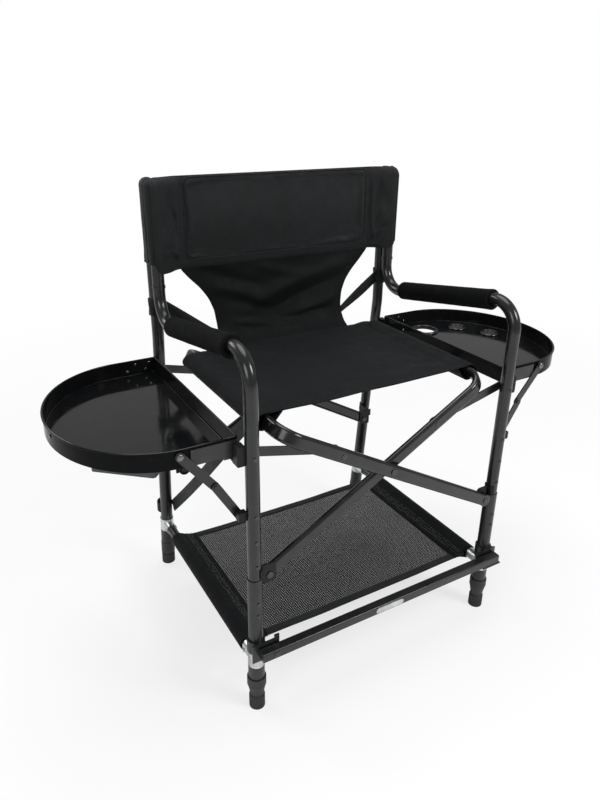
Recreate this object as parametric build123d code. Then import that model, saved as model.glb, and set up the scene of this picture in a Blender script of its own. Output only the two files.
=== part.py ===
from build123d import *
from math import acos, atan, atan2, cos, degrees, hypot, radians, sin
import os

# Tall folding director chair: two side frames joined by a scissor frame, a sling seat and back,
# a mesh shelf, a footrest bar, folding side trays and telescopic feet.
# Millimetres, +Z up, floor at Z = 0. The chair faces -Y and X = 0 is its middle plane.
# "left" is the -X side and "right" the +X side, as seen by someone who faces the chair.

# ---------------------------------------------------------------- driving dimensions
LEG_X = 295.0               # half spacing of the leg axes
FRONT_LEG_Y = -246.0        # axis of the front legs
REAR_FOOT_Y = 272.5         # axis of the rear legs where it meets the floor
REAR_RAKE = 0.094           # forward lean of the rear legs, run over rise
REAR_POST_Y = 212.0         # axis of the rear tubes above their bend
RISER_Y = 182.5             # axis of the arm tube's rear riser
POST_TOP_Z = 962.0

TUBE_R = 12.7               # frame tube, 25.4 mm outside
TUBE_WALL = 1.5
SLEEVE_R = 14.3             # lower leg sleeve
SLEEVE_TOP_Z = 315.0
SLEEVE_WALL = 1.5
TUBE_END_Z = 268.0          # where the frame tube ends inside its sleeve
RUNNING = 0.06              # radial clearance of pins in holes
GAP = 0.5                   # clear space between stacked moving plates

ARM_Z = 745.0               # arm axis height at ARM_REF_Y
ARM_REF_Y = -181.0
ARM_SLOPE = 0.19            # fall over run, towards the rear
ARM_BEND = 55.0
ARM_PAD_R = 22.0
ARM_PAD_Y = (-179.0, 108.0)
JUNCTION_Z = 761.0          # where the back post plugs into the arm tube
SPIGOT = 18.0               # length of the plug

PIVOT_X = 264.0             # lower scissor pivots
PIVOT_Z = 310.0
RAIL_X = 240.0              # seat rail axes
RAIL_Z = 595.0
RAIL_BEND = 40.0
MEMBER_W = 28.0             # flat-oval scissor tube
MEMBER_T = 14.0
MEMBER_WALL = 1.5
LAYER = 9.0                 # scissor tubes stand this far either side of their mean plane
REAR_CROSS_Y = 201.3        # mean plane of the rear scissor
FOLD_HALF = 94.0            # half spacing of the leg axes when folded
PIN_R = 4.0

STAY_REACH = 135.0          # stay rivet, measured along the member from the cross pivot
STAY_W = 18.0
STAY_T = 3.0

SHELF_Z = 125.0
SHELF_TUBE_R = 11.0
SHELF_Y = (-207.5, 182.5)
SHELF_SLEEVE_R = 16.0
SOCKET = 36.0               # reach of the corner brackets along the shelf tubes

SEAT_Y = (-190.5, 151.5)
SEAT_SLEEVE_R = 17.4
SEAT_CLOTH = 6.0

BACK_Z = (787.0, 975.0)
BACK_Y = (188.5, 202.5)
BACK_EDGE_X = 279.0         # where the back panel meets the post sleeves
WAIST_X = 163.0
HEM_Z = 612.0
STRAP_Z = (691.0, 727.0)
STRAP_W = 28.0              # carry strap, and the heights of its two ends
STRAP_ENDS = (172.0, 640.0)

BAR_Z = 154.0               # footrest bar
BAR_SIZE = 20.0
BAR_X = (-299.0, 310.0)
BAR_BACK_Y = -267.3
BAR_PIVOT_X = -270.0

TRAY_INNER_X = 311.0
TRAY_STRAIGHT = 89.0
TRAY_A = 183.0              # half axes of the rounded outer end
TRAY_B = 211.0
TRAY_Y = -13.0
TRAY_Z = (566.0, 600.0)
TRAY_WALL = 2.0
TRAY_PIVOT = (317.0, 562.0)         # x and z of the tray hinge, for the right side
BRACE_TRAY = (414.0, 590.0)         # upper brace pivot on the tray
BRACE_LEG = (317.0, 452.0)          # lower brace pivot on the leg
BRACE_W = 16.0
BRACE_T = 2.5
POCKET = (114.0, 70.0, 18.0)        # under-tray pocket: length, width, depth
POCKET_EDGE = (-493.0, -166.0)      # middle of its outer edge
POCKET_TURN = -40.7
HOLDERS = (                         # x, y and bore radius of the cup ring and the tool grommets
    (390.0, 128.5, 29.0),
    (480.0, 104.5, 17.0),
    (521.0, 28.5, 17.0),
)

FOOT_Z = 31.0               # top of the rubber foot
COLLAR_Z = {"front": 78.0, "rear": 68.0}
BRACKET_Z = (109.0, 143.0)
CLAMP_Z = (145.0, 173.0)
BUTTONS = ((568.0, TUBE_R), (452.0, TUBE_R), (399.0, TUBE_R), (346.0, TUBE_R),
           (263.0, SLEEVE_R), (235.0, SLEEVE_R))       # height, and radius of what they sit on

# ---------------------------------------------------------------- derived dimensions
RAKE_ANGLE = degrees(atan(REAR_RAKE))
REAR_BEND_Z = (REAR_FOOT_Y - REAR_POST_Y) / REAR_RAKE
OPEN_ANGLE = degrees(atan2(RAIL_Z - PIVOT_Z, RAIL_X + PIVOT_X))
MEMBER = hypot(RAIL_X + PIVOT_X, RAIL_Z - PIVOT_Z)
LOWER_ARM = PIVOT_X / cos(radians(OPEN_ANGLE))
FOLD_ANGLE = degrees(acos((FOLD_HALF - LEG_X + PIVOT_X) / LOWER_ARM))
CROSS_Z = PIVOT_Z + LOWER_ARM * sin(radians(OPEN_ANGLE))
REAR_EAR_Z = SLEEVE_TOP_Z + 3.0

SIDES = {"left": -1, "right": 1}
ENDS = ("front", "rear")


def stay_leg_height():
    """Height of the stay's leg pivot that gives one stay length both open and folded."""
    reach = LOWER_ARM + STAY_REACH
    spread = LOWER_ARM - STAY_REACH
    offset = LEG_X - PIVOT_X
    run, rise = [], []
    for angle in (OPEN_ANGLE, FOLD_ANGLE):
        run.append(spread * cos(radians(angle)) + offset)
        rise.append(reach * sin(radians(angle)))
    squares = run[0] ** 2 + rise[0] ** 2 - run[1] ** 2 - rise[1] ** 2
    return PIVOT_Z + squares / (2 * (rise[0] - rise[1]))


STAY_Z = stay_leg_height()
STAY_RIVET_X = STAY_REACH * cos(radians(OPEN_ANGLE))
STAY_RIVET_Z = CROSS_Z + STAY_REACH * sin(radians(OPEN_ANGLE))


# ---------------------------------------------------------------- basic shapes
def save(name, shape):
    """Writes one node. Several separate solids go in as one compound."""
    solids = shape if isinstance(shape, list) else [shape]
    flat = [solid for item in solids for solid in item.solids()]
    node = Compound(children=flat) if len(flat) > 1 else flat[0]
    node.label = name
    export_step(node, os.path.join("parts", name + ".step"))


def block(x, y, z):
    """Box from three (low, high) pairs."""
    size = (abs(x[1] - x[0]), abs(y[1] - y[0]), abs(z[1] - z[0]))
    middle = ((x[0] + x[1]) / 2, (y[0] + y[1]) / 2, (z[0] + z[1]) / 2)
    return Pos(*middle) * Box(*size)


def pole(radius, z_low, z_high):
    """Upright cylinder on the Z axis."""
    return Pos(0, 0, (z_low + z_high) / 2) * Cylinder(radius, z_high - z_low)


def rod_y(x, z, y_low, y_high, radius):
    """Cylinder parallel to Y."""
    return Pos(x, (y_low + y_high) / 2, z) * Rot(90, 0, 0) * Cylinder(radius, y_high - y_low)


def rod_between(start, end, radius):
    """Cylinder between two points."""
    axis = Vector(*end) - Vector(*start)
    plane = Plane(origin=start, z_dir=axis)
    return extrude(plane * Circle(radius), axis.length)


def bent_tube(points, bend, section):
    """Sweeps a section, a function of the start plane, along a filleted line."""
    path = FilletPolyline(*points, radius=bend)
    start = Plane(origin=path @ 0, z_dir=path % 0)
    return sweep(section(start), path)


def round_section(radius, wall):
    return lambda plane: plane * (Circle(radius) - Circle(radius - wall))


def pin_y(x, z, y_low, y_high, head=7.0, height=2.2):
    """Rivet parallel to Y with a head on each end, outside the stated span."""
    rivet = rod_y(x, z, y_low, y_high, PIN_R)
    for face, step in ((y_low, -height), (y_high, height)):
        cap = rod_y(x, z, min(face, face + step), max(face, face + step), head)
        outer = cap.edges().group_by(Axis.Y)[0 if step < 0 else -1]
        rivet += fillet(outer, height * 0.6)
    return rivet


def leg_place(side, end):
    """Location of a leg's own frame: the floor point, with Z along the leg."""
    if end == "front":
        return Pos(side * LEG_X, FRONT_LEG_Y, 0)
    return Pos(side * LEG_X, REAR_FOOT_Y, 0) * Rot(RAKE_ANGLE, 0, 0)


def leg_axis_y(end, z):
    return FRONT_LEG_Y if end == "front" else REAR_FOOT_Y - REAR_RAKE * z


def leg_hole(side, end, radius):
    """Cutter for anything that wraps a leg."""
    return leg_place(side, end) * pole(radius, -100, 700)


# ---------------------------------------------------------------- side frames
def arm_height(y):
    return ARM_Z - ARM_SLOPE * (y - ARM_REF_Y)


def arm_tube(side):
    """Front leg, sloping arm and rear riser bent from one tube, with a ferrule at its top."""
    x = side * LEG_X
    corners = [
        (x, FRONT_LEG_Y, TUBE_END_Z),
        (x, FRONT_LEG_Y, arm_height(FRONT_LEG_Y)),
        (x, RISER_Y, arm_height(RISER_Y)),
        (x, RISER_Y, JUNCTION_Z),
    ]
    tube = bent_tube(corners, ARM_BEND, round_section(TUBE_R, TUBE_WALL))
    ferrule = Pos(x, RISER_Y, 0) * (pole(TUBE_R + 1.3, JUNCTION_Z - 5, JUNCTION_Z)
                                    - pole(TUBE_R - TUBE_WALL, JUNCTION_Z - 6, JUNCTION_Z + 1))
    return tube + ferrule


def rear_leg_tube(side):
    """Raked rear leg that turns upright and runs on as the outer back post."""
    x = side * LEG_X
    start = leg_place(side, "rear") * Pos(0, 0, TUBE_END_Z)
    corners = [
        tuple(start.position),
        (x, REAR_POST_Y, REAR_BEND_Z),
        (x, REAR_POST_Y, POST_TOP_Z),
    ]
    return bent_tube(corners, 150, round_section(TUBE_R, TUBE_WALL))


def back_post(side):
    """Upper post whose narrowed end plugs into the arm tube."""
    spigot = TUBE_R - TUBE_WALL - RUNNING
    bore = spigot - TUBE_WALL
    post = pole(TUBE_R, JUNCTION_Z + 0.2, POST_TOP_Z) + pole(spigot, JUNCTION_Z - SPIGOT, JUNCTION_Z + 2)
    post -= pole(bore, JUNCTION_Z - SPIGOT - 1, POST_TOP_Z + 1)
    return Pos(side * LEG_X, RISER_Y, 0) * post


def arm_pad(side):
    """Foam tube round the arm, with rounded ends."""
    x = side * LEG_X
    start = (x, ARM_PAD_Y[0], arm_height(ARM_PAD_Y[0]))
    end = (x, ARM_PAD_Y[1], arm_height(ARM_PAD_Y[1]))
    pad = fillet(rod_between(start, end, ARM_PAD_R).edges().filter_by(GeomType.CIRCLE), 6)
    return pad - rod_between(start, end, TUBE_R + 0.1)


def leg_sleeve(side, end):
    """Lower leg tube with the wider lock housing at its foot."""
    bore = SLEEVE_R - SLEEVE_WALL
    low = COLLAR_Z[end] + 1
    sleeve = pole(SLEEVE_R, low, SLEEVE_TOP_Z)
    housing = pole(SLEEVE_R + 2, low, BRACKET_Z[0] - GAP)
    return leg_place(side, end) * (sleeve + housing - pole(bore, low - 1, SLEEVE_TOP_Z + 1))


def corner_bracket(side, end):
    """Plated collar on the leg with a socket for the shelf tube."""
    inward = 1 if end == "front" else -1
    collar = leg_place(side, end) * pole(SLEEVE_R + 1.8, *BRACKET_Z)
    axis = leg_axis_y(end, SHELF_Z)
    span = sorted((axis, axis + inward * SOCKET))
    socket = rod_y(side * LEG_X, SHELF_Z, *span, SHELF_TUBE_R + 2.4)
    tube = sorted((axis, axis + inward * 2 * SOCKET))
    rivet = rod_between(
        (side * (LEG_X + SHELF_TUBE_R + 1), axis + inward * (SOCKET - 10), SHELF_Z),
        (side * (LEG_X + SHELF_TUBE_R + 4.5), axis + inward * (SOCKET - 10), SHELF_Z), 4)
    bracket = collar + socket + rivet - leg_hole(side, end, SLEEVE_R + RUNNING)
    return bracket - rod_y(side * LEG_X, SHELF_Z, *tube, SHELF_TUBE_R + RUNNING)


def shelf_tube(side):
    front = FRONT_LEG_Y + SLEEVE_R + 1
    rear = leg_axis_y("rear", SHELF_Z) - SLEEVE_R - 2
    tube = rod_y(side * LEG_X, SHELF_Z, front, rear, SHELF_TUBE_R)
    return tube - rod_y(side * LEG_X, SHELF_Z, front - 1, rear + 1, SHELF_TUBE_R - TUBE_WALL)


def cross_plane(end):
    return FRONT_LEG_Y if end == "front" else REAR_CROSS_Y


def ear_bracket(side, end):
    """Saddle on the leg's inner side with a plate that carries the lower scissor pivot."""
    plane = cross_plane(end)
    low, high = PIVOT_Z - 14, PIVOT_Z + 26
    band = leg_place(side, end) * pole(TUBE_R + 2.4, REAR_EAR_Z, high)
    middle = leg_axis_y(end, PIVOT_Z)
    band &= block((side * (LEG_X - 20), side * (LEG_X - 6)), (middle - 20, middle + 20), (low, high))
    plate_y = (plane - STAY_T / 2, plane + STAY_T / 2)
    plate = block((side * (PIVOT_X - 13), side * (LEG_X - 14.5)), plate_y, (low, high))
    corners = plate.edges().filter_by(Axis.Y).sort_by(Axis.X)
    plate = fillet(corners[:2] if side > 0 else corners[2:], 8)
    bridge = block((side * (LEG_X - 17.5), side * (LEG_X - 10)), plate_y, (REAR_EAR_Z, high))
    ear = band + plate + bridge
    if end == "rear":
        web_y = (plane - STAY_T / 2, leg_axis_y(end, high))
        ear += block((side * (LEG_X - 17.5), side * (LEG_X - 14.5)), web_y, (REAR_EAR_Z, high))
    ear -= leg_hole(side, end, TUBE_R + RUNNING)
    return ear - rod_y(side * PIVOT_X, PIVOT_Z, plane - 5, plane + 5, PIN_R + RUNNING)


def tray_wall_y(end):
    """Outer face of the tray's straight end wall and the direction that points away from it."""
    return (TRAY_Y - TRAY_B, -1) if end == "front" else (TRAY_Y + TRAY_B, 1)


def layer_y(end, near, far):
    """Y span between two distances out from the tray's end wall."""
    wall, out = tray_wall_y(end)
    return tuple(sorted((wall + out * near, wall + out * far)))


def leg_lug(side, end, pivot, height, reach):
    """Block on a leg's outer side with a pin that points at the tray's end wall."""
    x, z = side * pivot[0], pivot[1]
    axis = leg_axis_y(end, z)
    out = tray_wall_y(end)[1]
    face = tray_wall_y(end)[0] + out * reach
    body_y = tuple(sorted((face, axis)))
    body = block((side * (LEG_X + 10.5), x + side * 6), body_y, (z - 9, z - 9 + height))
    body = fillet(body.edges().filter_by(Axis.Y), 3)
    near = tray_wall_y(end)[0] + out * 0.2
    pin = rod_y(x, z, *sorted((face, near)), PIN_R - 1)
    return body + pin - leg_hole(side, end, TUBE_R + RUNNING)


def footrest_clamp(side):
    """Collar with a front plate. The left one carries the pivot, the right one a ledge."""
    collar = Pos(side * LEG_X, FRONT_LEG_Y, 0) * pole(SLEEVE_R + 3.4, *CLAMP_Z)
    front = BAR_BACK_Y + 0.6
    plate = block((side * (LEG_X - 40), side * (LEG_X + 17)), (front, front + 3), (132, CLAMP_Z[1]))
    lug = block((side * (LEG_X - 12), side * (LEG_X + 12)), (front, FRONT_LEG_Y), CLAMP_Z)
    clamp = collar + plate + lug - leg_hole(side, "front", SLEEVE_R + RUNNING)
    if side < 0:
        stop_x = (-LEG_X + 30, -LEG_X + 40)
        clamp += block(stop_x, (front, front + 3), (CLAMP_Z[1], CLAMP_Z[1] + 8))
        return clamp - rod_y(BAR_PIVOT_X, BAR_Z, front - 1, front + 5, PIN_R + RUNNING)
    ledge_z = BAR_Z - BAR_SIZE / 2 - GAP
    ledge = block((LEG_X - 34, LEG_X + 17), (BAR_BACK_Y - BAR_SIZE, front + 3), (ledge_z - 3, ledge_z))
    return clamp + ledge


def leg_fasteners(side):
    """Pins of the scissor ears and stays, buttons on the front leg, and the footrest bolt."""
    pieces = []
    for end in ENDS:
        plane = cross_plane(end)
        half = STAY_T / 2
        outer, inner = scissor_layer(side, end, True)
        span = (min(outer, plane - half) - 0.1, max(inner, plane + half) + 0.1)
        pieces.append(pin_y(side * PIVOT_X, PIVOT_Z, *span))
        pieces.append(stay_pin(side, end))
    for z, radius in BUTTONS:
        front = FRONT_LEG_Y - radius
        pieces.append(rod_y(side * LEG_X, z, front - 1.6, front - 0.1, 3.2))
    if side < 0:
        front = BAR_BACK_Y - BAR_SIZE
        pieces.append(pin_y(BAR_PIVOT_X, BAR_Z, front - 0.1, BAR_BACK_Y + 3.7, 6.0, 1.6))
    return pieces


def back_sleeve(side):
    """Cloth pocket over both posts, closed at the top, and the strap loop on the rear post below it."""
    middle = (REAR_POST_Y + RISER_Y) / 2
    spread = REAR_POST_Y - RISER_Y
    place = Pos(side * LEG_X, middle, 0) * Rot(0, 0, 90)
    outer = SlotCenterToCenter(spread, 2 * (TUBE_R + 3))
    inner = SlotCenterToCenter(spread, 2 * (TUBE_R + 0.5))
    pocket = extrude(Pos(0, 0, BACK_Z[0]) * outer, BACK_Z[1] - BACK_Z[0])
    pocket -= extrude(Pos(0, 0, BACK_Z[0] - 1) * inner, POST_TOP_Z + 3 - BACK_Z[0])
    loop = pole(TUBE_R + 3, *STRAP_Z) - pole(TUBE_R + 0.5, STRAP_Z[0] - 1, STRAP_Z[1] + 1)
    return [place * pocket, Pos(side * LEG_X, REAR_POST_Y, 0) * loop]


def carry_strap():
    """Webbing from a loop on the left rear leg up to a tab behind the left front leg."""
    x = -LEG_X + 17
    low_z, high_z = STRAP_ENDS
    low_y, high_y = leg_axis_y("rear", low_z), FRONT_LEG_Y + TUBE_R + 6
    slope = Vector(0, high_y - low_y, high_z - low_z)
    plane = Plane(origin=(x, low_y, low_z), x_dir=slope, z_dir=(1, 0, 0))
    web = extrude(plane * Pos(slope.length / 2, 0) * Rectangle(slope.length, STRAP_W), 1.6)
    loop = leg_place(-1, "rear") * pole(SLEEVE_R + 3.6, low_z - STRAP_W / 2, low_z + STRAP_W / 2)
    back = FRONT_LEG_Y + TUBE_R
    tab = block((-LEG_X - 6, x + 1.6), (back + 0.4, back + 4), (high_z - 12, high_z + 12))
    return web + loop + tab - leg_hole(-1, "rear", SLEEVE_R + 0.4)


# ---------------------------------------------------------------- scissor frame
def scissor_layer(side, end, both=False):
    """Y of the member whose foot stands on this side: its mean plane, or its two faces."""
    outward = -1 if end == "front" else 1
    offset = -outward * LAYER if side < 0 else outward * LAYER
    middle = cross_plane(end) + offset
    if both:
        return middle - MEMBER_T / 2, middle + MEMBER_T / 2
    return middle


def scissor_tube(side):
    """Front diagonal, seat rail and rear diagonal in one flat-oval tube, footed on one side."""
    along = Vector(-side * cos(radians(OPEN_ANGLE)), 0, sin(radians(OPEN_ANGLE)))
    normal = Vector(side * sin(radians(OPEN_ANGLE)), 0, cos(radians(OPEN_ANGLE)))
    foot_x = side * PIVOT_X
    top = Vector(foot_x, 0, PIVOT_Z) + along * MEMBER
    ys = {end: scissor_layer(side, end) for end in ENDS}
    corners = [
        (foot_x, ys["front"], PIVOT_Z),
        (top.X, ys["front"], top.Z),
        (top.X, ys["rear"], top.Z),
        (foot_x, ys["rear"], PIVOT_Z),
    ]

    def section(plane):
        flat = Plane(origin=plane.origin, x_dir=normal, z_dir=plane.z_dir)
        outer = RectangleRounded(MEMBER_W, MEMBER_T, MEMBER_T / 2 - 0.4)
        inner = RectangleRounded(
            MEMBER_W - 2 * MEMBER_WALL, MEMBER_T - 2 * MEMBER_WALL, MEMBER_T / 2 - MEMBER_WALL - 0.4)
        return flat * (outer - inner)

    tube = bent_tube(corners, RAIL_BEND, section)
    for end in ENDS:
        low, high = scissor_layer(side, end, True)
        tube += rod_y(foot_x, PIVOT_Z, low, high, MEMBER_W / 2)
        for x, z in ((foot_x, PIVOT_Z), (0, CROSS_Z)):
            tube -= rod_y(x, z, low - 1, high + 1, PIN_R + RUNNING)
    return tube


def cross_pivot(end):
    """Rivet through both members, with a spacer washer between them."""
    plane = cross_plane(end)
    reach = LAYER + MEMBER_T / 2 + 0.1
    washer = rod_y(0, CROSS_Z, plane - 1.8, plane + 1.8, 9)
    return pin_y(0, CROSS_Z, plane - reach, plane + reach) + washer


def stay_plane(end):
    """Low and high Y of a stay: behind the front members, between the rear ones."""
    if end == "front":
        low = FRONT_LEG_Y + LAYER + MEMBER_T / 2 + GAP
    else:
        low = REAR_CROSS_Y - STAY_T / 2
    return low, low + STAY_T


def stay(side, end):
    """Flat link from the leg towards the scissor member, with a rivet head at its inner end."""
    low, high = stay_plane(end)
    outer = Vector(side * LEG_X, low, STAY_Z)
    inner = Vector(side * STAY_RIVET_X, low, STAY_RIVET_Z)
    run = inner - outer
    plane = Plane(origin=outer, x_dir=run, z_dir=(0, -1, 0))
    link = extrude(plane * Pos(run.length / 2, 0) * SlotCenterToCenter(run.length, STAY_W), -STAY_T)
    if end == "front":
        link += rod_y(inner.X, inner.Z, high, high + 2, 6)
    return link - rod_y(outer.X, outer.Z, low - 1, high + 1, PIN_R + RUNNING)


def stay_pin(side, end):
    """Pin that stands out of the leg and holds the stay."""
    low, high = stay_plane(end)
    if end == "front":
        near, far = FRONT_LEG_Y + TUBE_R + 2.7, high + 2.2
        head = rod_y(side * LEG_X, STAY_Z, high + 0.2, far, 7)
        washer = rod_y(side * LEG_X, STAY_Z, near, low - 0.2, 6)
    else:
        near, far = high + 0.6, low - 2.2
        head = rod_y(side * LEG_X, STAY_Z, far, low - 0.2, 7)
        washer = rod_y(side * LEG_X, STAY_Z, high + 0.2, near, 6)
    return rod_y(side * LEG_X, STAY_Z, *sorted((near, far)), PIN_R) + head + washer


def member_rivets(side):
    """Rivets where the stays meet a member. Those on the outer front member have a long spacer."""
    x = -side * STAY_RIVET_X
    pieces = []
    for end in ENDS:
        low, high = scissor_layer(side, end, True)
        if end == "front":
            cap = rod_y(x, STAY_RIVET_Z, low - 1.4, low, 6)
            pieces.append(fillet(cap.edges().group_by(Axis.Y)[0], 1))
        else:
            cap = rod_y(x, STAY_RIVET_Z, high, high + 1.4, 6)
            if side > 0:
                pieces.append(cap)
        if end == "front" and side > 0:
            pieces.append(rod_y(x, STAY_RIVET_Z, high, stay_plane(end)[0] - 0.3, 6))
    return pieces


# ---------------------------------------------------------------- cloth
def seat_half(side):
    """Half of the sling seat, with the sleeve that holds its rail."""
    cloth_z = (RAIL_Z + SEAT_SLEEVE_R - SEAT_CLOTH, RAIL_Z + SEAT_SLEEVE_R)
    panel = block((side * 0.25, side * RAIL_X), SEAT_Y, cloth_z)
    sleeve = rod_y(side * RAIL_X, RAIL_Z, *SEAT_Y, SEAT_SLEEVE_R)
    return panel + sleeve - rod_y(side * RAIL_X, RAIL_Z, SEAT_Y[0] - 1, SEAT_Y[1] + 1, MEMBER_W / 2 + 0.4)


def back_half(side):
    """Half of the back: the padded band, the narrow-waisted panel below it and a strap."""
    band = block((side * 0.25, side * BACK_EDGE_X), BACK_Y, BACK_Z)
    inner = side * 0.25
    outline = [
        (inner, BACK_Z[0]),
        (side * (BACK_EDGE_X - 40), BACK_Z[0]),
        (side * (WAIST_X + 30), BACK_Z[0] - 45),
        (side * WAIST_X, BACK_Z[0] - 100),
        (side * WAIST_X, HEM_Z),
        (inner, HEM_Z),
    ]
    middle = (BACK_Y[0] + BACK_Y[1]) / 2
    panel_plane = Plane(origin=(0, middle - 2, 0), x_dir=(1, 0, 0), z_dir=(0, -1, 0))
    face = panel_plane * make_face(Polyline(*outline, close=True))
    lower = extrude(face, 4, dir=(0, 1, 0))
    strap_outline = [
        (side * 277, STRAP_Z[1] - 2),
        (side * 277, STRAP_Z[0] + 2),
        (side * 175, 622),
        (side * 165, 632),
    ]
    strap_face = make_face(Polyline(*strap_outline, close=True))
    strap_plane = Plane(origin=(0, BACK_Y[1] + 4, 0), x_dir=(1, 0, 0), z_dir=(0, -1, 0))
    strap = extrude(strap_plane * strap_face, 2, dir=(0, 1, 0))
    return [band + lower, strap]


def shelf_half(side):
    """Half of the mesh shelf, with the sleeve over its side tube."""
    panel = block((side * 0.25, side * (LEG_X - SHELF_TUBE_R - 1)), SHELF_Y, (SHELF_Z - 1.5, SHELF_Z + 1.5))
    sleeve = rod_y(side * LEG_X, SHELF_Z, *SHELF_Y, SHELF_SLEEVE_R)
    return panel + sleeve - rod_y(side * LEG_X, SHELF_Z, SHELF_Y[0] - 1, SHELF_Y[1] + 1, SHELF_TUBE_R + 0.4)


# ---------------------------------------------------------------- footrest
def footrest_bar():
    """Square tube with rounded ends and the pivot hole."""
    middle, half = (BAR_X[0] + BAR_X[1]) / 2, (BAR_X[1] - BAR_X[0]) / 2
    section = Plane.YZ * RectangleRounded(BAR_SIZE, BAR_SIZE, 3)
    hollow = Plane.YZ * RectangleRounded(BAR_SIZE - 3, BAR_SIZE - 3, 1.5)
    bar = extrude(section, half, both=True)
    bar = fillet(bar.edges().filter_by(Axis.Z).sort_by(Axis.X)[-2:], 6)
    bar -= extrude(hollow, half - 14, both=True)
    bar = Pos(middle, BAR_BACK_Y - BAR_SIZE / 2, BAR_Z) * bar
    return bar - rod_y(BAR_PIVOT_X, BAR_Z, BAR_BACK_Y - BAR_SIZE - 1, BAR_BACK_Y + 1, PIN_R + RUNNING)


def blank_plate():
    """Plain plated strip on the bar's front face, held by two small rivets."""
    front = BAR_BACK_Y - BAR_SIZE
    place = Pos(-5, front, BAR_Z) * Rot(90, 0, 0)
    plate = place * extrude(SlotOverall(70, 12), 1.0)
    for x in (-34, 24):
        plate += rod_y(x, BAR_Z, front - 1.6, front - 1.0, 2)
    return plate


# ---------------------------------------------------------------- trays
def tray_outline(side, inset):
    """D shape: straight inner edge, short straight ends and a half-ellipse outside."""
    centre_x = TRAY_INNER_X + TRAY_STRAIGHT
    half = TRAY_B - inset
    reach = TRAY_A - inset
    oval = Pos(side * centre_x, TRAY_Y) * Ellipse(reach, half)
    width = TRAY_STRAIGHT - inset
    straight = Pos(side * (centre_x - width / 2), TRAY_Y) * Rectangle(width, 2 * half)
    keep = Pos(side * (centre_x + TRAY_A - width), TRAY_Y) * Rectangle(2 * TRAY_A, 3 * TRAY_B)
    outside = Pos(side * (centre_x + TRAY_A), TRAY_Y) * Rectangle(2 * TRAY_A, 3 * TRAY_B)
    return (oval & outside) + (straight & keep)


def tray(side):
    """Shallow pan with a turned-out lip."""
    low, high = TRAY_Z
    pan = extrude(Pos(0, 0, low) * tray_outline(side, 1.2), high - low)
    pan += extrude(Pos(0, 0, high - 3.5) * tray_outline(side, 0), 3.5)
    pan -= extrude(Pos(0, 0, low + TRAY_WALL) * tray_outline(side, 1.2 + TRAY_WALL), high - low)
    if side > 0:
        for x, y, bore in HOLDERS:
            pan -= Pos(x, y, 0) * pole(bore + 3, low - 1, low + TRAY_WALL + 1)
    return pan


def tray_holders():
    """Cup ring and two tool grommets set in the right tray's floor."""
    low = TRAY_Z[0]
    pieces = []
    for x, y, bore in HOLDERS:
        body = pole(bore + 2.9, low - 3, low + TRAY_WALL)
        body += pole(bore + 6, low + TRAY_WALL, low + TRAY_WALL + 3)
        body -= pole(bore, low - 4, low + 9)
        pieces.append(Pos(x, y, 0) * body)
    return pieces


def hinge_plate(side, end):
    """Plate on the tray's end wall that turns on the leg's hinge pin."""
    span = layer_y(end, -1.0, 2.2)
    plate_y = layer_y(end, 0.2, 2.2)
    x, z = side * TRAY_PIVOT[0], TRAY_PIVOT[1]
    plate = block((x - side * 5, x + side * 78), plate_y, (TRAY_Z[0] + 1, TRAY_Z[1] - 4))
    ear = rod_y(x, z, *plate_y, 8) + block((x, x + side * 20), plate_y, (z, TRAY_Z[0] + 6))
    fixing = block((x + side * 10, x + side * 76), (span[0], span[1]), (TRAY_Z[0] + 6, TRAY_Z[0] + 20))
    plate += ear + fixing - tray(side)
    return plate - rod_y(x, z, plate_y[0] - 4, plate_y[1] + 4, PIN_R - 1 + RUNNING)


def tray_box():
    """Shallow pocket under the left tray."""
    length, width, depth = POCKET
    outer = block((-length / 2, length / 2), (0, width), (-depth, -0.1))
    outer = fillet(outer.edges().filter_by(Axis.Z), 6)
    hollow = block((2 - length / 2, length / 2 - 2), (2, width + 1), (2 - depth, -2))
    return Pos(POCKET_EDGE[0], POCKET_EDGE[1], TRAY_Z[0]) * Rot(0, 0, POCKET_TURN) * (outer - hollow)


def brace_lengths():
    """Upper and lower link lengths: nearly straight when open, elbow below its leg pivot when folded."""
    span = hypot(BRACE_TRAY[0] - BRACE_LEG[0], BRACE_TRAY[1] - BRACE_LEG[1]) + 0.4
    swung_x = TRAY_PIVOT[0] + BRACE_TRAY[1] - TRAY_PIVOT[1]
    swung_z = TRAY_PIVOT[1] - BRACE_TRAY[0] + TRAY_PIVOT[0]
    side_step = swung_x - BRACE_LEG[0]
    drop = swung_z - BRACE_LEG[1]
    lower = (span ** 2 - side_step ** 2 - drop ** 2) / (2 * (span + drop))
    return span - lower, lower


def brace_elbow():
    """X and Z of the elbow at rest, for the right side."""
    upper, lower = brace_lengths()
    dx, dz = BRACE_LEG[0] - BRACE_TRAY[0], BRACE_LEG[1] - BRACE_TRAY[1]
    span = hypot(dx, dz)
    along = (upper ** 2 - lower ** 2 + span ** 2) / (2 * span)
    across = (upper ** 2 - along ** 2) ** 0.5
    return (BRACE_TRAY[0] + (dx * along + dz * across) / span,
            BRACE_TRAY[1] + (dz * along - dx * across) / span)


def brace_link(side, start, stop, span):
    """Flat link with round ends between two (x, z) points."""
    a = Vector(side * start[0], span[0], start[1])
    b = Vector(side * stop[0], span[0], stop[1])
    plane = Plane(origin=a, x_dir=b - a, z_dir=(0, -1, 0))
    length = (b - a).length
    return extrude(plane * Pos(length / 2, 0) * SlotCenterToCenter(length, BRACE_W), -(span[1] - span[0]))


def brace_upper(side, end):
    """Link from the tray. Its rivet heads show on the outside."""
    near, far = 2.7, 2.7 + BRACE_T
    span = layer_y(end, near, far)
    link = brace_link(side, BRACE_TRAY, brace_elbow(), span)
    return link - rod_y(side * BRACE_TRAY[0], BRACE_TRAY[1], span[0] - 1, span[1] + 1, PIN_R - 1 + RUNNING)


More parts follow.
